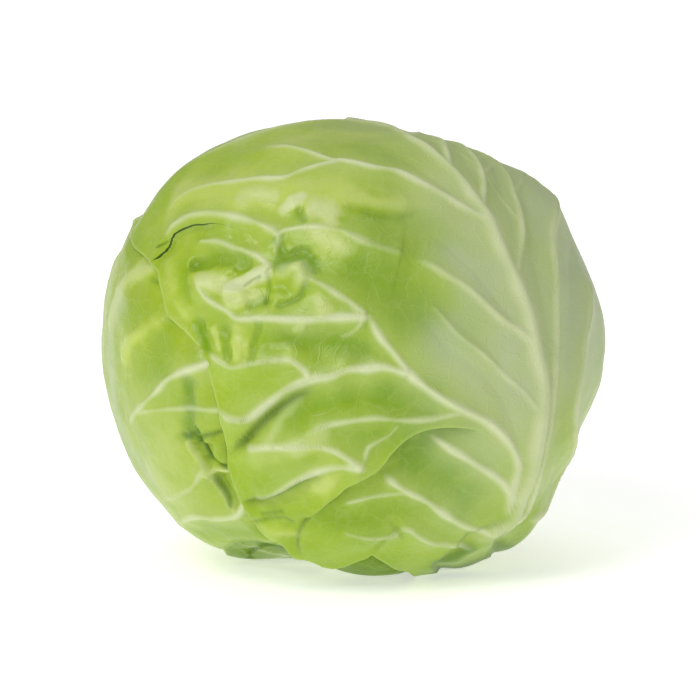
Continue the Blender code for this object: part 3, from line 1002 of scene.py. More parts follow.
@dataclass
class Shader:
    """A material's node tree, with one method for every kind of node."""

    name: str

    def __post_init__(self) -> None:
        """Makes the material and finds its main shader."""
        self.material = bpy.data.materials.new(self.name)
        self.material.use_nodes = True
        self.tree = self.material.node_tree
        self.main = self.tree.nodes["Principled BSDF"]

    def node(
        self,
        kind: str,
        settings: dict[str, object] | None = None,
        output: int | str = 0,
        slots: dict[int, object] | None = None,
        **inputs: object,
    ) -> Socket:
        """Adds a node.

        Args:
            kind: The node's type.
            settings: What is set on the node itself, before its sockets.
            output: Which output to return.
            slots: Values or links of sockets that only their number tells apart.
            inputs: Values or links of the others, by name.

        Returns:
            One of the node's outputs.
        """
        made = self.tree.nodes.new(kind)
        for key, value in (settings or {}).items():
            setattr(made, key, value)
        for key, value in {**(slots or {}), **inputs}.items():
            self.put(made.inputs[key], value)
        return Socket(self.tree, made.outputs[output])

    def put(self, slot: bpy.types.NodeSocket, value: object) -> None:
        """Links a socket to an input, or sets the input's own value."""
        if isinstance(value, Socket):
            self.tree.links.new(value.socket, slot)
        else:
            slot.default_value = value

    def mix(self, share: Socket | float, first: "Socket | Colour", second: "Socket | Colour") -> Socket:
        """A colour between two others."""
        colours = [c if isinstance(c, Socket) else (*c, 1.0) for c in (first, second)]
        settings = {"data_type": "RGBA", "clamp_factor": True}
        return self.node("ShaderNodeMix", settings, 2, {0: share, 6: colours[0], 7: colours[1]})

    def mask(self, mask: Mask) -> Socket:
        """One of the masks that a leaf's mesh carries."""
        return self.node("ShaderNodeAttribute", {"attribute_name": mask.value}, "Fac")

    def vector_math(self, operation: str, output: int | str, *values: object) -> Socket:
        """A Vector Math node of some values or links."""
        return self.node("ShaderNodeVectorMath", {"operation": operation}, output, dict(enumerate(values)))

    def noise(self, place: Socket, scale: float, detail: float, roughness: float = 0.5) -> Socket:
        """Soft noise from 0 to 1."""
        return self.node("ShaderNodeTexNoise", Vector=place, Scale=scale, Detail=detail, Roughness=roughness)

    def net(self, place: Socket, scale: float, width: float) -> Socket:
        """The lines between cells, 1 in their middle and 0 beyond their width."""
        cells = self.node("ShaderNodeTexVoronoi", {"feature": "DISTANCE_TO_EDGE"}, Vector=place, Scale=scale)
        return (1.0 - cells / width).clamp() ** 2.0

    def finish(self, colour: Socket, roughness: Socket, height: Socket, bump: float, depth: float) -> None:
        """Sets the main shader's colour, roughness and bump.

        Args:
            colour: The base colour.
            roughness: The roughness, which is kept from 0 to 1.
            height: The bump's height.
            bump: The bump's strength.
            depth: How deep the bump is, in metres.
        """
        self.put(self.main.inputs["Base Color"], colour)
        self.put(self.main.inputs["Roughness"], roughness.clamp())
        normal = self.node("ShaderNodeBump", Height=height, Strength=bump, Distance=depth)
        self.put(self.main.inputs["Normal"], normal)

    def set(self, **values: object) -> None:
        """Sets constant values on the main shader's own sockets, with _ for a space in a name."""
        for name, value in values.items():
            self.main.inputs[name.replace("_", " ")].default_value = value


@dataclass(frozen=True)
class LeafFinish:
    """A living leaf's face: waxy, veined, unevenly green, with painted shade and highlights. Colours are
    linear.
    """

    name: str
    young: Colour = (0.31, 0.45, 0.016)
    deep: Colour = (0.17, 0.315, 0.0)
    pale: Colour = (0.46, 0.57, 0.09)
    # the veins' pale colour, also that of the painted highlights
    vein: Colour = (0.60, 0.66, 0.37)
    rib: Colour = (0.45, 0.55, 0.17)
    bloom: Colour = (0.49, 0.565, 0.36)
    # painted shade in creases, under folds and in hollows
    shaded_crease: Colour = (0.065, 0.15, 0.003)
    # painted shade in the open slit
    slit_shade: Colour = (0.028, 0.07, 0.004)
    margin: Colour = (0.44, 0.58, 0.13)
    roughness: float = 0.31
    subsurface: float = 0.05
    specular: float = 0.3
    net_strength: float = 0.16
    bump: float = 0.32
    slit_shade_blur: float = 0.02  # centimetres

    def material(self) -> bpy.types.Material:
        """Makes the leaf's material."""
        shader = Shader(self.name)
        place = shader.node("ShaderNodeTexCoord", output="Object")
        patches = shader.noise(place, 55.0, 4.0, 0.6)
        mottle = shader.noise(place, 260.0, 5.0, 0.65)
        grain = shader.noise(place, 1400.0, 3.0, 0.6)
        bend = shader.node("ShaderNodeTexNoise", output=1, Vector=place, Scale=120.0, Detail=2.0)
        bent = shader.node("ShaderNodeMix", {"data_type": "VECTOR"}, 1, {0: 0.012, 4: place, 5: bend})
        net = shader.net(bent, 115.0, 0.10) + shader.net(bent, 330.0, 0.16) * 0.45
        # Vein paleness, with the painted highlights in it.
        vein = ((shader.mask(Mask.VEIN) - 0.1) * 1.3).clamp()
        rib = shader.mask(Mask.RIB)
        bloom = shader.mask(Mask.BLOOM)
        # Tone: the leaf's uneven green, with painted shade in recesses and painted light on swells.
        tone = shader.mask(Mask.TONE) + (patches - 0.5) * 0.7 + (mottle - 0.5) * 0.25
        colour = shader.mix((tone * 2.2 + 1.0).clamp(), self.pale, self.young)
        colour = shader.mix((tone * 1.3).clamp(), colour, self.deep)
        colour = shader.mix((bloom + (patches - 0.5) * 0.3 * bloom).clamp() * 0.85, colour, self.bloom)
        colour = shader.mix(net.clamp() * self.net_strength * (1.0 - vein), colour, self.rib)
        colour = shader.mix(rib * 0.62, colour, self.rib)
        colour = shader.mix((vein * 1.05 + (mottle - 0.5) * 0.3 * vein).clamp(), colour, self.vein)
        colour = shader.mix(shader.mask(Mask.MARGIN) * 0.55, colour, self.margin)
        # Painted shade in creases, folds and hollows, then painted shade in the open slit.
        colour = shader.mix(shader.mask(Mask.CREASE), colour, self.shaded_crease)
        slit_shade = shader.mask(Mask.GAPE) - shader.mask(Mask.CRACK).math("ABSOLUTE")
        colour = shader.mix((slit_shade / self.slit_shade_blur + 0.5).clamp(), colour, self.slit_shade)
        gloss = self.roughness + bloom * 0.16 + (mottle - 0.5) * 0.22 + vein * 0.08
        height = mottle * 0.4 + grain * 0.12 + net.clamp() * 0.35
        shader.finish(colour, gloss, height, self.bump, 0.0006)
        shader.set(Specular_IOR_Level=self.specular, Subsurface_Weight=self.subsurface)
        shader.set(Subsurface_Radius=(0.5, 1.0, 0.2), Subsurface_Scale=0.004)
        return shader.material


# Veins of the front leaf, as the photograph shows them
MIDRIB = traced(
    (492, 540), (513, 519), (530, 485), (540, 440), (544, 400), (543, 380), (536, 350), (527.5, 311),
    (518.6, 287.5), (508, 264), (497, 239), (486, 214), (472, 196), (458, 177), (443.5, 162.5), (426, 148),
    (408, 139), (393.6, 132), (376, 125),
)
MIDRIB_BEHIND = compass((-171, 79), (178, 66), (176, 52))
SECOND_RIB = traced(
    (518, 528), (527, 510), (543, 460), (553, 400), (555, 358), (556, 310), (556, 287), (553, 240),
    (552, 208),
)
SECOND_RIB_BEHIND = compass((99, 38), (118, 46), (140, 52))
THIRD_RIB = traced(
    (534, 522), (546, 498), (560, 470), (575, 420), (585, 358), (591, 314), (589, 290), (579, 258)
)
TOP_VEIN = traced((393, 132), (360, 124), (305, 124), (262, 133), (210, 153), (180, 170))
UPPER_VEIN = traced(
    (488, 223), (461, 207), (440, 195), (420, 184), (399, 174), (376, 170), (345, 163), (331, 162),
    (305, 153), (279, 148), (245, 150),
)
UPPER_BRANCH = traced(
    (340, 163), (305, 172), (285, 180), (262, 181), (236, 184), (210, 188), (193, 193), (180, 202),
    (167, 212),
)
HUB_VEIN = traced(
    (538, 370), (533, 350), (518, 332), (501, 320), (483, 304), (465, 288), (447, 277), (429, 266),
    (402, 255), (376, 248), (351, 237), (340, 232), (314, 229), (293, 231), (281, 237), (272.5, 269.6),
)
HUB_LEFT = traced(
    (281, 240), (271, 231), (245, 220.5), (224, 217), (207, 215), (186, 219), (173, 227), (160, 238)
)
HUB_LOW_LEFT = traced((272.5, 269.6), (259, 258), (238, 250), (221, 243.5), (207, 242), (194, 241))
STRONG_VEIN = traced(
    (505, 513), (511, 494), (515, 479), (517, 465), (511, 447), (501, 433), (488, 422), (470, 413),
    (451, 404), (429, 390), (409.6, 374), (393.6, 354), (379, 337), (370, 320), (363, 314),
)
STRONG_LEFT = traced(
    (368, 318), (340, 318), (314, 320), (288, 319.6), (262, 319), (240, 319.5), (228, 311), (214, 303),
    (205, 296), (199, 282), (197, 268),
)
STRONG_UP = traced((365, 316), (350, 303), (338, 296), (327.6, 289), (315, 282), (305, 279), (284, 274))
FRONT_VEIN = traced(
    (410, 374), (393.6, 369.5), (381, 367), (367, 368.6), (349, 369.5), (331, 376), (313, 379), (295, 386),
    (283, 392), (272, 401), (261, 410), (251, 417), (242, 419.5), (229, 417), (220, 410.5), (206, 408),
)
FRONT_FORK = traced(
    (312, 380), (304, 369), (292, 360.5), (277.5, 360), (261, 362), (238, 367), (229, 366), (217, 358),
    (204, 350),
)
FRONT_LOW = traced(
    (466, 411), (456, 411), (429, 417), (401, 418.6), (376, 417), (358, 418.6), (340, 422), (322, 426),
    (308, 433), (295, 440),
)
FRONT_SPUR = traced((396, 424), (388, 433), (376, 440), (367, 447), (363, 461))
STAR_UP = traced(
    (362, 467), (345, 456), (331, 449), (313, 445), (295, 445), (268.6, 446), (251, 448), (240, 447)
)
STAR_LOW = traced((362, 466), (340, 465), (318.6, 470), (295, 481), (277.5, 492), (265, 497), (251, 498))
BELOW_PLEAT = traced(
    (511, 498), (508, 492), (502.5, 483), (492, 474), (474, 463), (456, 452.5), (440, 442), (426, 433)
)
LOWER_VEIN = traced(
    (492, 532), (468.6, 527.5), (454, 520), (440, 511), (426, 501), (408, 492), (393.6, 483), (380, 471)
)
LOWER_FORK = traced((408, 491), (399, 492), (376, 495), (358, 499), (340, 504))
FOOT_VEIN = traced((470, 548), (447, 545), (433, 543.6), (418.6, 536), (408, 529), (397, 533))
FOOT_FORK = traced((397, 533), (383, 538), (358, 534.6), (340, 530))
FAINT_VEIN = traced(
    (432, 307), (452, 330), (466, 342), (479, 352), (494, 366), (505, 378), (519, 391), (528, 405),
    (532, 424),
)
SHORT_SPUR = traced((363, 320), (357, 329), (348, 335), (338, 337))
PLEAT_EDGE = traced(
    (299, 530), (306, 524), (319, 513.5), (328, 504.6), (338, 497), (346, 489), (356, 483), (368, 477),
    (379, 471), (391.5, 456.5), (403, 443.8), (412, 436.8), (424.6, 431), (437.4, 428.5), (451.4, 427),
    (463, 427.8), (476, 429), (488, 431),
)

# The front leaf's edge: down its left side, along the bottom, and round behind
FRONT_LEFT_EDGE = traced(
    (149, 259), (159, 274), (166, 303), (171, 317), (185, 331), (204, 350), (211, 367), (217, 392),
    (222, 408), (228, 429), (230, 447), (229, 465), (235, 483), (243, 500), (258, 529), (283, 545),
    (295, 558),
)
FRONT_BOTTOM_EDGE = traced(
    (304, 559), (312, 562), (322, 567.5), (333, 569), (345, 567.5), (358, 562), (367, 558.5), (372, 554),
    (380, 559), (389, 564.5), (399, 570), (409, 573.5), (420, 575), (431, 571), (441, 569.5), (452, 569),
    (462, 568),
)
FRONT_BACK_EDGE = compass(
    (70, -63.5), (80, -61.5), (89, -58), (97, -52), (104, -45), (110, -37), (114, -28), (118, -19),
    (124, -9), (132, 5), (144, 22), (158, 38), (180, 44), (-157, 41), (-138, 37), (-120, 33), (-104, 31),
    (-93, 27),
)
FLAP_EDGE = np.vstack(
    [
        compass((100, -67), (80, -68)),
        traced((432, 568.5), (441, 559), (448, 552), (459, 541), (467, 531)),
        traced((477, 525), (495, 514), (505, 503)),
    ]
)
PETIOLE_EDGE = np.vstack(
    [
        compass((104, -61), (90, -60)),
        traced((498, 545), (508.8, 533), (519, 519), (528, 507.5), (538, 491), (547, 475.7)),
    ]
)
LOBE_EDGE = traced((314, 517), (307, 522.5), (301, 531), (298.6, 541), (299, 550), (303, 558))
OVERLAP_EDGE = traced((374, 556), (380, 547), (388, 538), (397, 530.5), (406, 530))
UPPER_FOLD = traced((335, 203), (352, 206.5), (370, 211), (388, 215), (405, 214), (425, 210))
SLIT = traced(
    (149, 260), (156.6, 255), (165.5, 246.3), (170.6, 237.4), (178.3, 231), (191, 226), (203.8, 224),
    (216.5, 224.6), (235, 229),
)
SLIT_FORK = traced((152, 247), (160, 242), (170.6, 236))
STAR_SHADOW = traced((242, 501), (252, 499.5), (266, 497), (285, 489), (305, 478), (330, 468))
HUB_NOTCH = traced((276, 264), (290, 252), (306, 247), (316, 256))
VEIN_SHADOW = traced((228, 452), (240, 441), (255, 425), (270, 411), (285, 400), (301, 391), (320, 384))

# Folds beside the front leaf's thick foot, and painted shade on their undersides
FOOT_FOLDS = (
    Stroke(traced((458, 556), (475, 545), (493, 532), (508, 517)), 6.0, 1.6, 0.3),
    Stroke(traced((434, 568), (450, 567), (468, 566)), 4.4, tone=0.6, shade=0.85, above=-2.0),
    Stroke(traced((438, 560), (450, 552), (463, 542)), 3.0, tone=0.6, shade=0.5, above=-1.0),
    Stroke(traced((462, 567), (480, 562), (494, 554)), 4.6, tone=0.7, shade=0.6, above=-2.0),
    Stroke(traced((498, 549), (516, 548), (530, 538)), 4.2, tone=0.6, shade=0.45, above=-2.0),
)
# Darker green panels between the veins; where they are sunken, the darkening is painted shade
PANELS = (
    Stroke(traced((335, 222), (380, 227), (430, 235), (470, 255)), 9.0, -0.4, 0.25),
    Stroke(traced((360, 275), (400, 298), (445, 335)), 12.0, -0.7, 0.6),
    Stroke(traced((280, 340), (305, 338), (335, 342), (360, 350)), 5.5, -1.1, 0.75),
    Stroke(traced((430, 400), (380, 392), (330, 400), (290, 412)), 8.0, -0.8, 0.6),
    Stroke(traced((410, 425), (360, 440), (330, 432)), 6.0, -0.5, 0.45),
    Stroke(traced((430, 442), (404, 468)), 6.0, -1.2, 0.6),
    Stroke(traced((440, 470), (400, 505), (340, 520)), 9.0, -0.5, 0.45),
    Stroke(traced((450, 445), (475, 475), (450, 515)), 12.0, tone=0.3, bloom=0.12),
    Stroke(traced((425, 455), (450, 485), (470, 505)), 8.0, tone=0.25),
    Stroke(traced((265, 485), (290, 472), (310, 462)), 6.0, tone=0.35),
    Stroke(traced((366, 214), (390, 216), (424, 222)), 4.0, tone=0.3),
)
# Swollen places between the veins, painted paler as if lit, some with painted highlights
SWELLS = (
    Stroke(traced((300, 398), (285, 412), (272, 436)), 2.4, 1.0, -0.3, glint=0.3),
    Stroke(traced((270, 530), (290, 534)), 3.0, 0.8, -0.3),
    Stroke(traced((318, 486), (330, 480)), 3.0, 1.0, -0.5, glint=0.2),
    Stroke(traced((262, 462), (290, 455)), 6.0, 0.8, -0.15, 0.1),
    Stroke(traced((320, 432), (308, 440), (298, 444)), 4.0, 0.8, -0.5, glint=0.3),
    Stroke(traced((345, 199), (370, 205), (400, 208)), 3.0, 0.5, -0.5, glint=0.15),
    Stroke(traced((250, 170), (330, 135)), 12.0, 0.4, -0.25),
    Stroke(traced((180, 195), (230, 200), (300, 195), (345, 190)), 7.0, 0.8, -0.5),
    Stroke(traced((320, 236), (345, 250)), 3.6, 0.5, -0.5, glint=0.3),
)
# Painted highlights in small patches, and a dimple with painted shade, above the dent
TOP_PATCHES = (
    Stroke(traced((246, 202), (260, 196), (274, 199)), 3.4, 0.3, -0.5, glint=0.4, edge=2.6),
    Stroke(traced((288, 209), (302, 200)), 2.8, 0.5, -0.6, glint=0.65, edge=3.0),
    Stroke(traced((316, 209), (331, 215)), 3.8, 0.5, -0.6, glint=0.5, edge=3.2),
    Stroke(traced((329, 211), (332, 224)), 3.0, 0.3, -0.6, glint=0.4, edge=3.2),
    Stroke(traced((301, 214), (305, 222)), 1.8, -0.5, 0.7, edge=4.0),
)
# The crumpled middle of the dent, with painted highlights on its folds and painted shade in its furrows
DENT_FOLDS = (
    Stroke(traced((234, 288), (248, 282), (263, 276)), 3.4, 1.4, -0.9, glint=0.75, edge=4.0),
    Stroke(traced((206, 281), (226, 287), (236, 300)), 4.0, 0.8, -0.6, glint=0.45, edge=3.0),
    Stroke(traced((240, 303), (258, 297)), 3.2, 0.3, -0.5, glint=0.35, edge=3.0),
    Stroke(traced((247, 287), (254, 283), (263, 279)), 0.5, -0.3, shade=0.5),
    Stroke(traced((271, 271), (270, 288), (267, 304)), 0.8, -0.5, 0.4, shade=0.2),
    Stroke(traced((307, 284), (300, 297), (281, 307)), 1.2, -0.6, 0.6, shade=0.15),
    Stroke(traced((254, 306), (264, 301)), 2.0, -0.5, 0.7, edge=3.0),
    Stroke(traced((196, 265), (220, 260), (249, 264)), 3.0, -1.5, 0.6, edge=4.0),
    Stroke(traced((187, 272), (186, 294)), 3.0, -1.0, 0.35),
    Stroke(traced((284, 264), (296, 256), (306, 258), (313, 270)), 2.8, -0.6, 1.4, edge=2.6),
    Stroke(traced((280, 243), (284, 254)), 1.8, -0.6, 1.0, edge=3.0),
    Stroke(traced((285, 270), (300, 268), (304, 280)), 3.2, 1.0, -0.6, glint=0.4),
    Stroke(traced((318, 300), (326, 312)), 3.4, 0.5, -0.4, glint=0.3),
    Stroke(traced((170, 262), (176, 290), (186, 312)), 3.0, 0.8, -0.3),
)
# Short upright ridges and furrows under the dent, and small folds at the low left: painted shade in the
# furrows and folds, painted highlights on some ridges
SMALL_RIDGES = (
    Stroke(traced((199, 326), (206, 346)), 2.6, -1.3, 0.7, edge=2.4),
    Stroke(traced((229, 332), (230, 357)), 1.7, -0.9, 0.6, edge=2.4),
    Stroke(traced((262, 324), (256, 342), (254, 362)), 1.3, -0.9, 0.5, edge=2.4),
    Stroke(traced((218, 330), (222, 348)), 1.4, 0.6, -0.4, glint=0.2, edge=3.0),
    Stroke(traced((240, 328), (240, 356)), 2.0, 0.6, -0.3, glint=0.15, edge=3.0),
    Stroke(traced((296, 330), (303, 326)), 1.4, 0.4, -0.5, glint=0.35, edge=3.0),
    Stroke(traced((235, 340), (245, 345)), 3.2, 0.7, -0.3),
    Stroke(traced((290, 350), (275, 345)), 3.4, 0.6, -0.3),
    Stroke(traced((262, 515), (282, 510)), 0.9, -0.5, 0.3, shade=0.25),
    Stroke(traced((254, 522), (283, 516), (290, 521)), 0.9, -0.5, 0.3, shade=0.25),
)
# Where the blade is finely crumpled
CRUMPLES = (
    Stroke(traced((248, 275)), 26.0, crumple=1.0),
    Stroke(traced((240, 330)), 22.0, crumple=0.8),
    Stroke(traced((275, 520)), 15.0, crumple=0.8),
)
# Where wax dulls the blade
BLOOMS = (
    Stroke(traced((445, 195), (492, 262), (512, 320), (518, 380), (508, 430)), 14.0, tone=-0.25, bloom=0.6),
    Stroke(traced((440, 345), (470, 380)), 9.0, tone=-0.2, bloom=0.45),
    Stroke(traced((455, 260), (480, 290)), 9.0, bloom=0.5),
    Stroke(traced((250, 135), (320, 118), (400, 124), (450, 140)), 7.0, bloom=0.6),
    Stroke(compass((72, 8)), 46.0, bloom=0.95),
    Stroke(compass((120, 45)), 50.0, bloom=0.7),
)


def front_leaf() -> PleatedLeaf:
    """The outermost leaf, which wraps the front, the top and the right, with its pleat at the lower front."""
    veins = [
        Vein(np.vstack([MIDRIB, MIDRIB_BEHIND]), (2.2, 0.9), (4.2, 1.6), (4.4, 1.6), 14.0, (0.85, 0.75)),
        Vein(
            np.vstack([SECOND_RIB, SECOND_RIB_BEHIND]), (1.6, 0.7), (1.9, 1.1), (2.8, 3.7), 10.0, (0.95, 0.6)
        ),
        Vein(THIRD_RIB, (1.2, 0.8), (1.6, 1.1), (2.3, 4.0), 9.0, (0.85, 0.7)),
        Vein(TOP_VEIN, (0.9, 0.4), (1.5, 1.0), (2.0, 1.0), 9.0, (0.8, 0.5)),
        Vein(UPPER_VEIN, (1.2, 0.6), (1.7, 1.2), (2.4, 1.5), 10.0, (0.9, 0.7)),
        Vein(UPPER_BRANCH, (0.8, 0.4), (1.3, 0.9), (1.8, 1.2), 9.0, (0.8, 0.5)),
        Vein(HUB_VEIN[:9], (1.3, 0.8), (1.9, 1.5), (2.6, 2.0), 10.0, (0.9, 0.35)),
        Vein(HUB_VEIN[8:], (0.8, 0.7), (1.5, 1.2), (2.0, 1.8), 9.0, (0.3, 0.85)),
        Vein(HUB_LEFT, (0.9, 0.7), (1.5, 1.4), (2.2, 2.2), 8.0, (0.7, 0.6)),
        Vein(HUB_LOW_LEFT, (0.7, 0.4), (1.2, 0.9), (1.6, 1.2), 6.0, (0.65, 0.5)),
        Vein(STRONG_VEIN, (1.5, 1.0), (1.9, 1.4), (3.0, 1.6), 11.0, (0.95, 0.9)),
        Vein(STRONG_LEFT, (1.1, 0.6), (1.4, 1.0), (2.2, 1.8), 8.0, (0.9, 0.7)),
        Vein(STRONG_UP, (0.8, 0.5), (1.2, 1.0), (1.6, 1.4), 7.0, (0.7, 0.6)),
        Vein(FRONT_VEIN, (1.1, 0.8), (1.4, 1.3), (2.4, 3.0), 8.0, (0.85, 0.8)),
        Vein(FRONT_FORK, (0.9, 0.6), (1.2, 1.0), (1.8, 1.6), 7.0, (0.8, 0.6)),
        Vein(FRONT_LOW, (0.7, 0.5), (1.1, 1.0), (1.6, 1.8), 7.0, (0.55, 0.6)),
        Vein(FRONT_SPUR, (0.5, 0.4), (0.9, 0.8), (1.0, 1.2), 5.0, (0.5, 0.5)),
        Vein(STAR_UP, (1.1, 0.6), (1.5, 1.0), (2.4, 1.8), 7.0, (0.95, 0.7)),
        Vein(STAR_LOW, (1.0, 0.5), (1.4, 1.0), (2.2, 1.8), 7.0, (0.9, 0.6)),
        Vein(BELOW_PLEAT, (1.1, 0.7), (1.5, 1.2), (2.0, 1.4), 8.0, (0.9, 0.85)),
        Vein(LOWER_VEIN, (1.1, 0.7), (1.5, 1.1), (2.2, 1.6), 8.0, (0.9, 0.75)),
        Vein(LOWER_FORK, (0.7, 0.4), (1.1, 0.8), (1.4, 1.0), 7.0, (0.6, 0.4)),
        Vein(FAINT_VEIN, (0.5, 0.7), (1.0, 1.3), (0.9, 1.6), 7.0, (0.25, 0.75)),
        Vein(SHORT_SPUR, (0.5, 0.3), (0.9, 0.7), (1.0, 0.6), 5.0, (0.55, 0.3)),
        Vein(FOOT_VEIN, (0.9, 0.6), (1.2, 1.0), (1.8, 2.2), 6.0, (0.7, 0.7)),
        Vein(FOOT_FORK, (0.6, 0.4), (1.0, 0.8), (1.6, 1.2), 6.0, (0.6, 0.4)),
    ]
    veins += Branching(5, 7, 62.0, (-1.0,)).veins(np.vstack([MIDRIB[6:], MIDRIB_BEHIND]))
    # Furrows, each with painted shade at its foot; the slit's gape is painted with its shade.
    creases = [
        Crease(SLIT, (1.8, 0.9), 5.0, 1.6, False, 0.25, 1.2, (0.4, 0.12), 1.9),
        Crease(SLIT_FORK, (0.5, 0.3), 2.0, 1.0, False, 0.8, 0.45, above=1.9),
        Crease(VEIN_SHADOW, (3.4, 1.2), 4.5, 1.4, False, 0.62, 1.9),
        Crease(STAR_SHADOW, (3.0, 1.8), 5.5, 1.2, False, 0.6, 1.2),
        Crease(HUB_NOTCH, (0.9, 0.9), 5.0, 1.8, False, 0.0),
        Crease(FLAP_EDGE, (2.4, 0.6), 6.0, 2.2, False, 0.45, 1.2),
        Crease(PETIOLE_EDGE, (1.8, 0.8), 5.0, 3.0, False, 0.35, 1.4),
        Crease(LOBE_EDGE, (1.2, 1.4), 4.0, 1.2, False, 0.45, 0.8),
        Crease(OVERLAP_EDGE, (1.0, 0.6), 4.0, 1.2, True, 0.15, 1.1),
        Crease(UPPER_FOLD, (0.6, 0.6), 6.0, 1.6, False, 0.15, 1.5),
    ]
    strokes = [
        *FOOT_FOLDS, *PANELS, *SWELLS, *TOP_PATCHES,
        *DENT_FOLDS, *SMALL_RIDGES, *CRUMPLES, *BLOOMS,
    ]
    return PleatedLeaf(
        name="front_blade",
        node="front_leaf",
        middle=traced((390, 215))[0],
        outline=np.vstack([FRONT_LEFT_EDGE, FRONT_BOTTOM_EDGE, FRONT_BACK_EDGE]),
        veins=veins,
        creases=creases,
        strokes=strokes,
        segments=480,
        outer_rows=185,
        rows_to_pleat=108,
        dense_at=traced((300, 480)),
        density=0.4,
        pleat=VIEW.raised(PLEAT_EDGE, 4.0),
        pucker=0.55,
        seed=3,
    )


# Where the leaves under the front leaf are pressed in
LOW_LEFT_DENT = Lobe(-37.0, -62.0, -7.5, 9.0)
LOW_RIGHT_DENT = Lobe(74.0, -57.0, -4.5, 11.0)

# The hollow on the left leaf, beside the front leaf's edge
HOLLOW_EDGE = traced(
    (187, 432), (188.5, 444), (193, 451.5), (200.6, 461), (210, 473), (217.6, 487), (225, 499), (234, 508),
    (241, 513),
)
HOLLOW_TOP = traced((190, 440), (197, 436), (205, 433.5), (217, 430), (229, 428))
HOLLOW_CRACK = traced((212, 472), (217, 482), (222.5, 491.5), (229.7, 502.5), (235, 508.5))


LEFT_STRONG_VEIN = traced(
    (216, 360), (210, 363), (190, 370), (170, 379), (158, 392), (147, 402.5), (136, 415), (128, 428)
)
LEFT_CROSS_VEIN = traced((228, 411), (206, 408), (179, 407.5), (161, 409), (144, 411), (132, 414))
LEFT_LOW_VEIN = traced(
    (243.6, 497), (242, 510), (233, 516), (215, 518.6), (197, 516), (184.6, 520), (176, 527.5)
)
LEFT_FORK = traced((206, 468), (201, 476), (193.6, 486), (179, 493.6), (161, 499))
# Swells and furrows of the left leaf: the swells painted paler, the shoulder with a painted highlight, and
# painted shade in the furrows
LEFT_STROKES = (
    Stroke(traced((150, 268), (132, 275), (118, 295), (110, 320)), 4.0, 1.0, -0.6, 0.1, glint=0.3),
    Stroke(traced((158, 281), (152, 279)), 1.2, -0.6, 0.5),
    Stroke(traced((160, 322), (150, 327), (133, 341), (124, 355)), 3.0, 0.9, -0.55),
    Stroke(traced((165, 345), (160, 370)), 9.0, -0.7, 0.4),
    Stroke(traced((191, 383), (192, 410), (191, 436)), 3.0, -1.2, 0.8, shade=0.2),
    Stroke(traced((188, 437), (197, 433)), 1.6, -1.0, 0.9, shade=0.7),
    Stroke(traced((120, 300), (108, 350), (115, 420), (150, 480)), 5.0, bloom=0.6),
    Stroke(traced((170, 440), (160, 470), (185, 500)), 9.0, 0.9, -0.3, 0.2),
    Stroke(traced((200, 535), (225, 532), (255, 533)), 5.0, -0.6, 0.35),
)
# Small folds in the hollow with painted shade in it, and a painted highlight on its edge
HOLLOW_STROKES = (
    Stroke(HOLLOW_EDGE, 0.8, tone=-0.4, glint=0.35),
    Stroke(traced((202, 440), (205, 447), (210, 455)), 2.0, -1.2, 1.0, shade=1.0, above=-1.5),
    Stroke(traced((213, 458), (221, 463), (231, 467)), 0.8, -1.0, 0.6, shade=0.6, above=-1.5),
    Stroke(traced((221, 440), (222, 452)), 3.2, 1.8, 0.1, above=-1.5),
    Stroke(traced((212, 470), (220, 468.5), (230, 469)), 1.2, 1.4, -0.7, glint=0.4, above=-1.5),
    Stroke(traced((222, 478), (234, 496)), 3.0, -0.2, 0.3, above=-1.5),
)

def left_leaf(above: list[LeafShell]) -> LeafShell:
    """The paler leaf on the left, which goes in under the front leaf and wraps the back."""
    midrib = compass((156, -70), (-158, -60), (-132, -42), (-120, -14), (-112, 14), (-104, 40))
    outline = compass(
        (-26, 2), (-22, -25), (-24, -44), (-20, -62), (-34, -68), (-58, -72), (-84, -72), (-105, -74),
        (-125, -79), (120, -84), (140, -72), (158, -62), (172, -50), (-178, -38), (-172, -15), (-168, 8),
        (-160, 28), (-145, 46), (-110, 54), (-80, 52), (-50, 44), (-30, 24),
    )
    veins = [
        Vein(midrib, (2.4, 0.8), (4.0, 1.5), (3.8, 1.6), 13.0, (0.75, 0.6)),
        Vein(LEFT_STRONG_VEIN, (1.1, 0.6), (1.5, 1.2), (2.2, 1.4), 9.0, (0.9, 0.5)),
        Vein(LEFT_CROSS_VEIN, (0.7, 0.3), (1.2, 0.9), (1.4, 0.8), 7.0, (0.6, 0.35)),
        Vein(LEFT_LOW_VEIN, (1.0, 0.7), (1.4, 1.2), (2.0, 1.6), 6.0, (0.85, 0.6)),
        Vein(LEFT_FORK, (0.7, 0.4), (1.3, 1.0), (1.6, 1.0), 7.0, (0.5, 0.35)),
    ]
    veins += Branching(5, 11, 52.0).veins(midrib)
    # The hollow's furrows, with painted shade at their feet.
    creases = [
        Crease(HOLLOW_EDGE, (4.6, 2.6), 9.0, 2.4, True, 0.0, above=0.3),
        Crease(HOLLOW_TOP, (1.6, 1.0), 3.0, 1.6, False, 0.6, 1.2, above=0.0),
        Crease(HOLLOW_CRACK, (0.3, 0.3), 3.0, 2.4, True, 0.7, 0.7, above=0.0),
    ]
    return LeafShell(
        name="left_blade",
        node="left_leaf",
        middle=compass((-98, -6))[0],
        outline=outline,
        veins=veins,
        creases=creases,
        strokes=[*LEFT_STROKES, *HOLLOW_STROKES],
        above=above,
        dents=(LOW_LEFT_DENT,),
        body_thickness=4.0,
        segments=480,
        outer_rows=185,
        dense_at=traced((212, 470)),
        density=0.6,
        sag=0.7,
        seed=5,
        tone=0.05,
    )


# The slot over the curled lip at the foot leaf's front, the painted shadow in it, and the leaf's front edge
FOOT_LIP = traced((243, 557), (251.5, 550.5), (262, 547.5), (279, 547.5), (288, 550))
FOOT_SHADOW = traced((276, 554), (286, 554))
FOOT_FRONT_EDGE = traced(
    (497, 515), (470, 492), (440, 484), (408, 495), (386, 521), (330, 540), (290, 548), (265, 549),
    (240, 547),
)


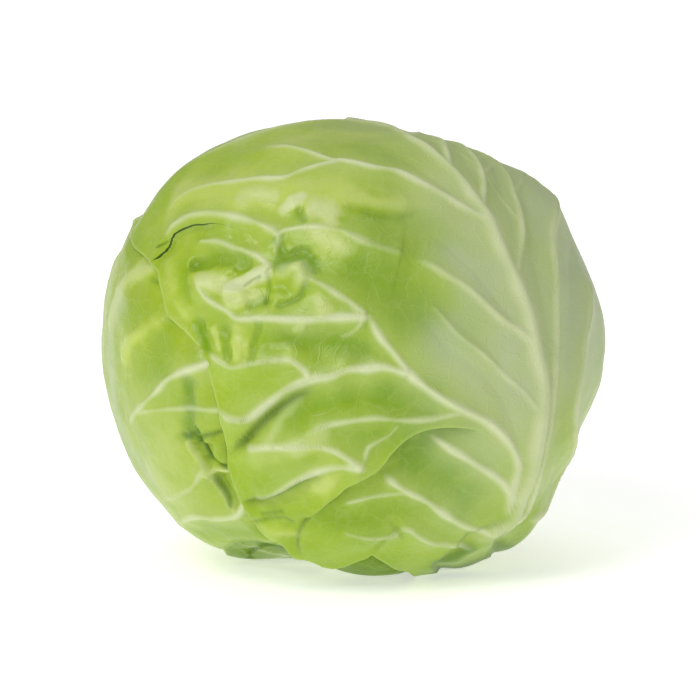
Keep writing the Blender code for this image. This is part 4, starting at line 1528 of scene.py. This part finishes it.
def foot_leaf(above: list[LeafShell]) -> LeafShell:
    """The leaf under the foot, which the head stands on."""
    behind = compass(
        (-78, -58), (-90, -64), (-115, -66), (-160, -65), (160, -66), (137, -77), (112, -79), (84, -72),
        (62, -56),
    )
    return LeafShell(
        name="foot_blade",
        node="foot_leaf",
        middle=compass((-12, -76))[0],
        outline=np.vstack([FOOT_FRONT_EDGE, behind]),
        veins=Branching(3, 31, 26.0).veins(compass((110, -76), (40, -86), (-50, -72), (-62, -60))),
        # The lip's slot and the stroke in it carry painted shadow.
        creases=[Crease(FOOT_LIP, (1.2, 1.2), 3.0, 1.4, True, 0.6, 0.9, above=-5.0)],
        strokes=[Stroke(FOOT_SHADOW, 2.2, shade=0.95, above=-4.0)],
        above=above,
        dents=(LOW_LEFT_DENT, LOW_RIGHT_DENT),
        segments=260,
        outer_rows=69,
        sunk=1.0,
        seed=8,
        tone=0.45,
    )


def back_leaf(above: list[LeafShell]) -> LeafShell:
    """The leaf that wraps the back and the low right."""
    outline = compass(
        (62, -42), (74, -15), (84, 15), (102, 44), (140, 62), (180, 66), (-148, 60), (-126, 42), (-114, 12),
        (-116, -20), (-130, -44), (-160, -56), (165, -58), (138, -53), (115, -48), (98, -53), (80, -54),
    )
    midrib = compass((112, -50), (112, -32), (124, -8), (142, 18), (160, 40), (172, 56))
    veins = [Vein(midrib, (2.4, 0.9), (4.0, 1.6), (4.0, 1.6), 14.0, (0.75, 0.65))]
    veins += Branching(6, 23, 56.0).veins(midrib)
    return LeafShell(
        name="back_blade",
        node="back_leaf",
        middle=compass((158, 2))[0],
        outline=outline,
        veins=veins,
        above=above,
        dents=(LOW_RIGHT_DENT,),
        segments=420,
        outer_rows=109,
        seed=12,
        tone=0.1,
    )


@dataclass
class CutStem:
    """The stump that the leaves grow from, cut flat."""

    radius: float = 14.2
    bearing: float = 115.0
    height: float = -62.0
    start: float = 70.4
    foot: float = 78.5
    # From the cut face's rim inwards: how wide each ring is, and how far it is pushed out, in metres
    rings: tuple[Pair, ...] = (
        (0.0012, 0.0), (0.0016, -0.0007), (0.0030, 0.0006), (0.0028, -0.0004), (0.0022, -0.0009)
    )
    rounding: float = 0.0006

    @property
    def axis(self) -> Array:
        """The direction from the head's centre out along the stem."""
        return compass((self.bearing, self.height))[0]

    def head_centre(self) -> Vector:
        """The head's centre in metres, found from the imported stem, whose axis passes through it."""
        low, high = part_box("stem")
        return (low + high) / 2.0 - Vector(self.axis) * (self.start + self.foot) / 2.0 * MM

    def build(self, centre: Vector, finish: "StemFinish") -> bpy.types.Object:
        """Makes the stump: a ridged peg whose cut face has a raised bark ring and a sunk pith."""
        bpy.ops.object.select_all(action="DESELECT")
        middle = centre + Vector(self.axis) * (self.start + self.foot) / 2.0 * MM
        turn = Vector(self.axis).to_track_quat("Z", "Y").to_euler()
        size = {"radius": self.radius * MM, "depth": (self.foot - self.start) * MM}
        bpy.ops.mesh.primitive_cylinder_add(vertices=96, location=middle, rotation=turn, **size)
        piece = bpy.context.object
        piece.name = "stump"
        bpy.ops.object.mode_set(mode="EDIT")
        bpy.ops.mesh.select_all(action="DESELECT")
        bpy.ops.object.mode_set(mode="OBJECT")
        for face in piece.data.polygons:
            face.select = face.normal.z > 0.9
        bpy.ops.object.mode_set(mode="EDIT")
        for inset, push in self.rings:
            bpy.ops.mesh.inset(thickness=inset, depth=push)
        bpy.ops.mesh.select_all(action="SELECT")
        bpy.ops.mesh.normals_make_consistent(inside=False)
        bpy.ops.object.mode_set(mode="OBJECT")
        bpy.ops.object.transform_apply(location=True, rotation=True, scale=True)
        soften = piece.modifiers.new("soften", "BEVEL")
        soften.width = self.rounding
        soften.segments = 2
        finer = piece.modifiers.new("finer", "SUBSURF")
        finer.levels = finer.render_levels = 1
        for modifier in (soften, finer):
            bpy.ops.object.modifier_apply(modifier=modifier.name)
        hand_over(piece, "stem", finish.material(centre, self.axis))
        return piece


@dataclass(frozen=True)
class StemFinish:
    """The pale, drying face of a cut stem. Colours are linear."""

    flesh: Colour = (0.62, 0.63, 0.36)
    ring: Colour = (0.44, 0.50, 0.20)
    dry: Colour = (0.42, 0.34, 0.17)
    flesh_radius: float = 11.0  # millimetres

    def material(self, centre: Vector, axis: Array) -> bpy.types.Material:
        """Makes the stem's material, whose rings run round the stem's axis."""
        shader = Shader("stem")
        place = shader.node("ShaderNodeTexCoord", output="Object")
        offset = shader.vector_math("SUBTRACT", 0, place, tuple(centre))
        aside = shader.vector_math("CROSS_PRODUCT", 0, offset, tuple(axis))
        away = shader.vector_math("LENGTH", "Value", aside)
        speckle = shader.noise(place, 420.0, 5.0, 0.7)
        blotch = shader.noise(place, 95.0, 3.0)
        ring = ((away / MM + (blotch - 0.5) * 3.0) / self.flesh_radius).clamp() ** 6.0
        colour = shader.mix(ring, self.flesh, self.ring)
        colour = shader.mix(((blotch - 0.42) * 3.0).clamp() * 0.45, colour, self.dry)
        colour = shader.mix(((speckle - 0.5) * 2.5).clamp() * 0.3, colour, self.dry)
        shader.finish(colour, 0.62 + (speckle - 0.5) * 0.3, speckle + blotch * 0.5, 0.5, 0.0005)
        return shader.material


@dataclass
class Heart:
    """The dense ball of inner leaves, which shows only through the gaps. Lengths are in millimetres."""

    depth: float = 16.0  # below the head's form
    socket: float = 70.1  # how far its neck reaches, where the stem joins it
    neck: Pair = (10.0, 15.0)  # how wide the neck is where it ends and where it starts, in degrees
    segments: int = 160
    rings: int = 80

    def build(self, centre: Vector, axis: Array, finish: "HeartFinish") -> bpy.types.Object:
        """Makes the heart, cut flat where the stem along this axis joins it."""
        bpy.ops.object.select_all(action="DESELECT")
        bpy.ops.mesh.primitive_uv_sphere_add(segments=self.segments, ring_count=self.rings, radius=1.0)
        piece = bpy.context.object
        piece.name = "inner_heart"
        ball = unit(vertices_of(piece))
        radius = FORM.radius_at(ball) - self.depth + 0.5 * wrinkles(ball * FORM.radius, 16.0, 21)
        socket = self.socket / np.maximum(ball @ axis, 0.01)
        away = np.degrees(np.arccos(np.clip(ball @ axis, -1.0, 1.0)))
        beside = smooth((away - self.neck[0]) / (self.neck[1] - self.neck[0]))
        radius = np.minimum(beside * radius + (1.0 - beside) * socket, socket)
        move_vertices(piece, ball * radius[:, None], centre)
        hand_over(piece, "heart", finish.material())
        return piece


@dataclass(frozen=True)
class HeartFinish:
    """The pale inner leaves that show through the gaps. Colours are linear."""

    light: Colour = (0.50, 0.60, 0.20)
    shade: Colour = (0.28, 0.42, 0.07)

    def material(self) -> bpy.types.Material:
        """Makes the heart's material."""
        shader = Shader("heart")
        place = shader.node("ShaderNodeTexCoord", output="Object")
        patches = shader.noise(place, 45.0, 5.0, 0.6)
        net = shader.net(place, 70.0, 0.12)
        colour = shader.mix(((patches - 0.35) * 3.0).clamp(), self.light, self.shade)
        colour = shader.mix(net * 0.4, colour, self.light)
        shader.finish(colour, 0.35 + (patches - 0.5) * 0.3, net * 0.5 + patches, 0.4, 0.001)
        return shader.material


@dataclass
class Studio:
    """A white room: the floor, the lights and the camera."""

    centre: Vector
    floor_size: float = 12.0
    floor_glow: float = 0.5
    world_strength: float = 0.4
    key_power: float = 29.0
    light_size: float = 1.2
    key_place: tuple[float, float, float] = (-1.1, -1.5, 1.7)
    top_power: float = 6.0
    top_place: tuple[float, float, float] = (0.1, 0.5, 2.0)
    sensor_width: float = 36.0

    def floor(self) -> None:
        """Lays the white floor."""
        bpy.ops.object.select_all(action="DESELECT")
        bpy.ops.mesh.primitive_plane_add(size=self.floor_size)
        ground = bpy.context.object
        ground.name = "floor"
        shader = Shader("floor")
        shader.set(Base_Color=(0.93, 0.93, 0.93, 1.0), Roughness=0.9, Specular_IOR_Level=0.1)
        shader.set(Emission_Color=(1.0, 1.0, 1.0, 1.0), Emission_Strength=self.floor_glow)
        ground.data.materials.append(shader.material)

    def light(self, name: str, place: tuple[float, float, float], power: float) -> None:
        """Hangs a square soft light that faces the head."""
        lamp = bpy.data.lights.new(name, "AREA")
        lamp.shape = "SQUARE"
        lamp.size = self.light_size
        lamp.energy = power
        holder = bpy.data.objects.new(name, lamp)
        bpy.context.scene.collection.objects.link(holder)
        holder.location = place
        holder.rotation_euler = (self.centre - Vector(place)).to_track_quat("-Z", "Y").to_euler()

    def camera(self) -> None:
        """Puts the camera where the photograph was taken from."""
        target = VIEW.camera_target(self.centre)
        shot = bpy.data.cameras.new("camera")
        shot.sensor_width = self.sensor_width
        shot.lens = self.sensor_width * VIEW.distance / (VIEW.picture_width * VIEW.scale * MM)
        shot.clip_end = 30.0
        holder = bpy.data.objects.new("camera", shot)
        bpy.context.scene.collection.objects.link(holder)
        holder.location = target + Vector(VIEW.sight) * VIEW.distance
        holder.rotation_euler = (-Vector(VIEW.sight)).to_track_quat("-Z", "Y").to_euler()
        bpy.context.scene.camera = holder

    def build(self) -> None:
        """Makes the whole room."""
        self.camera()
        self.floor()
        self.light("key", self.key_place, self.key_power)
        self.light("top", self.top_place, self.top_power)
        world = bpy.data.worlds.new("white room")
        world.use_nodes = True
        sky = world.node_tree.nodes["Background"]
        sky.inputs["Color"].default_value = (1.0, 1.0, 1.0, 1.0)
        sky.inputs["Strength"].default_value = self.world_strength
        bpy.context.scene.world = world
        bpy.context.scene.view_settings.view_transform = "Standard"


def main() -> None:
    """Builds the head round its frame, then the room."""
    logging.basicConfig(level=logging.INFO, format="%(message)s")
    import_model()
    stem = CutStem()
    centre = stem.head_centre()
    LOG.info("head centre: %s", [round(value, 5) for value in centre])
    Studio(centre).build()
    front = LeafFinish("front_leaf")
    left = LeafFinish("left_leaf", young=(0.32, 0.445, 0.022), deep=(0.18, 0.325, 0.003))
    # A darker copy of the leaf colours for the leaf under the head: painted shade.
    shade_painted_colours = {"young": (0.23, 0.37, 0.008), "deep": (0.11, 0.21, 0.0), "pale": (0.32, 0.45, 0.04)}
    foot = LeafFinish("foot_leaf", specular=0.12, **shade_painted_colours)
    back = LeafFinish("back_leaf", young=(0.33, 0.44, 0.08), deep=(0.17, 0.30, 0.02))
    outermost = front_leaf()
    under_foot = foot_leaf([outermost])
    on_left = left_leaf([outermost, under_foot])
    behind = back_leaf([outermost, under_foot, on_left])
    for shell, finish in ((outermost, front), (on_left, left), (under_foot, foot), (behind, back)):
        shell.build(centre, finish)
    Heart().build(centre, stem.axis, HeartFinish())
    stem.build(centre, StemFinish())


if __name__ == "__main__":
    main()
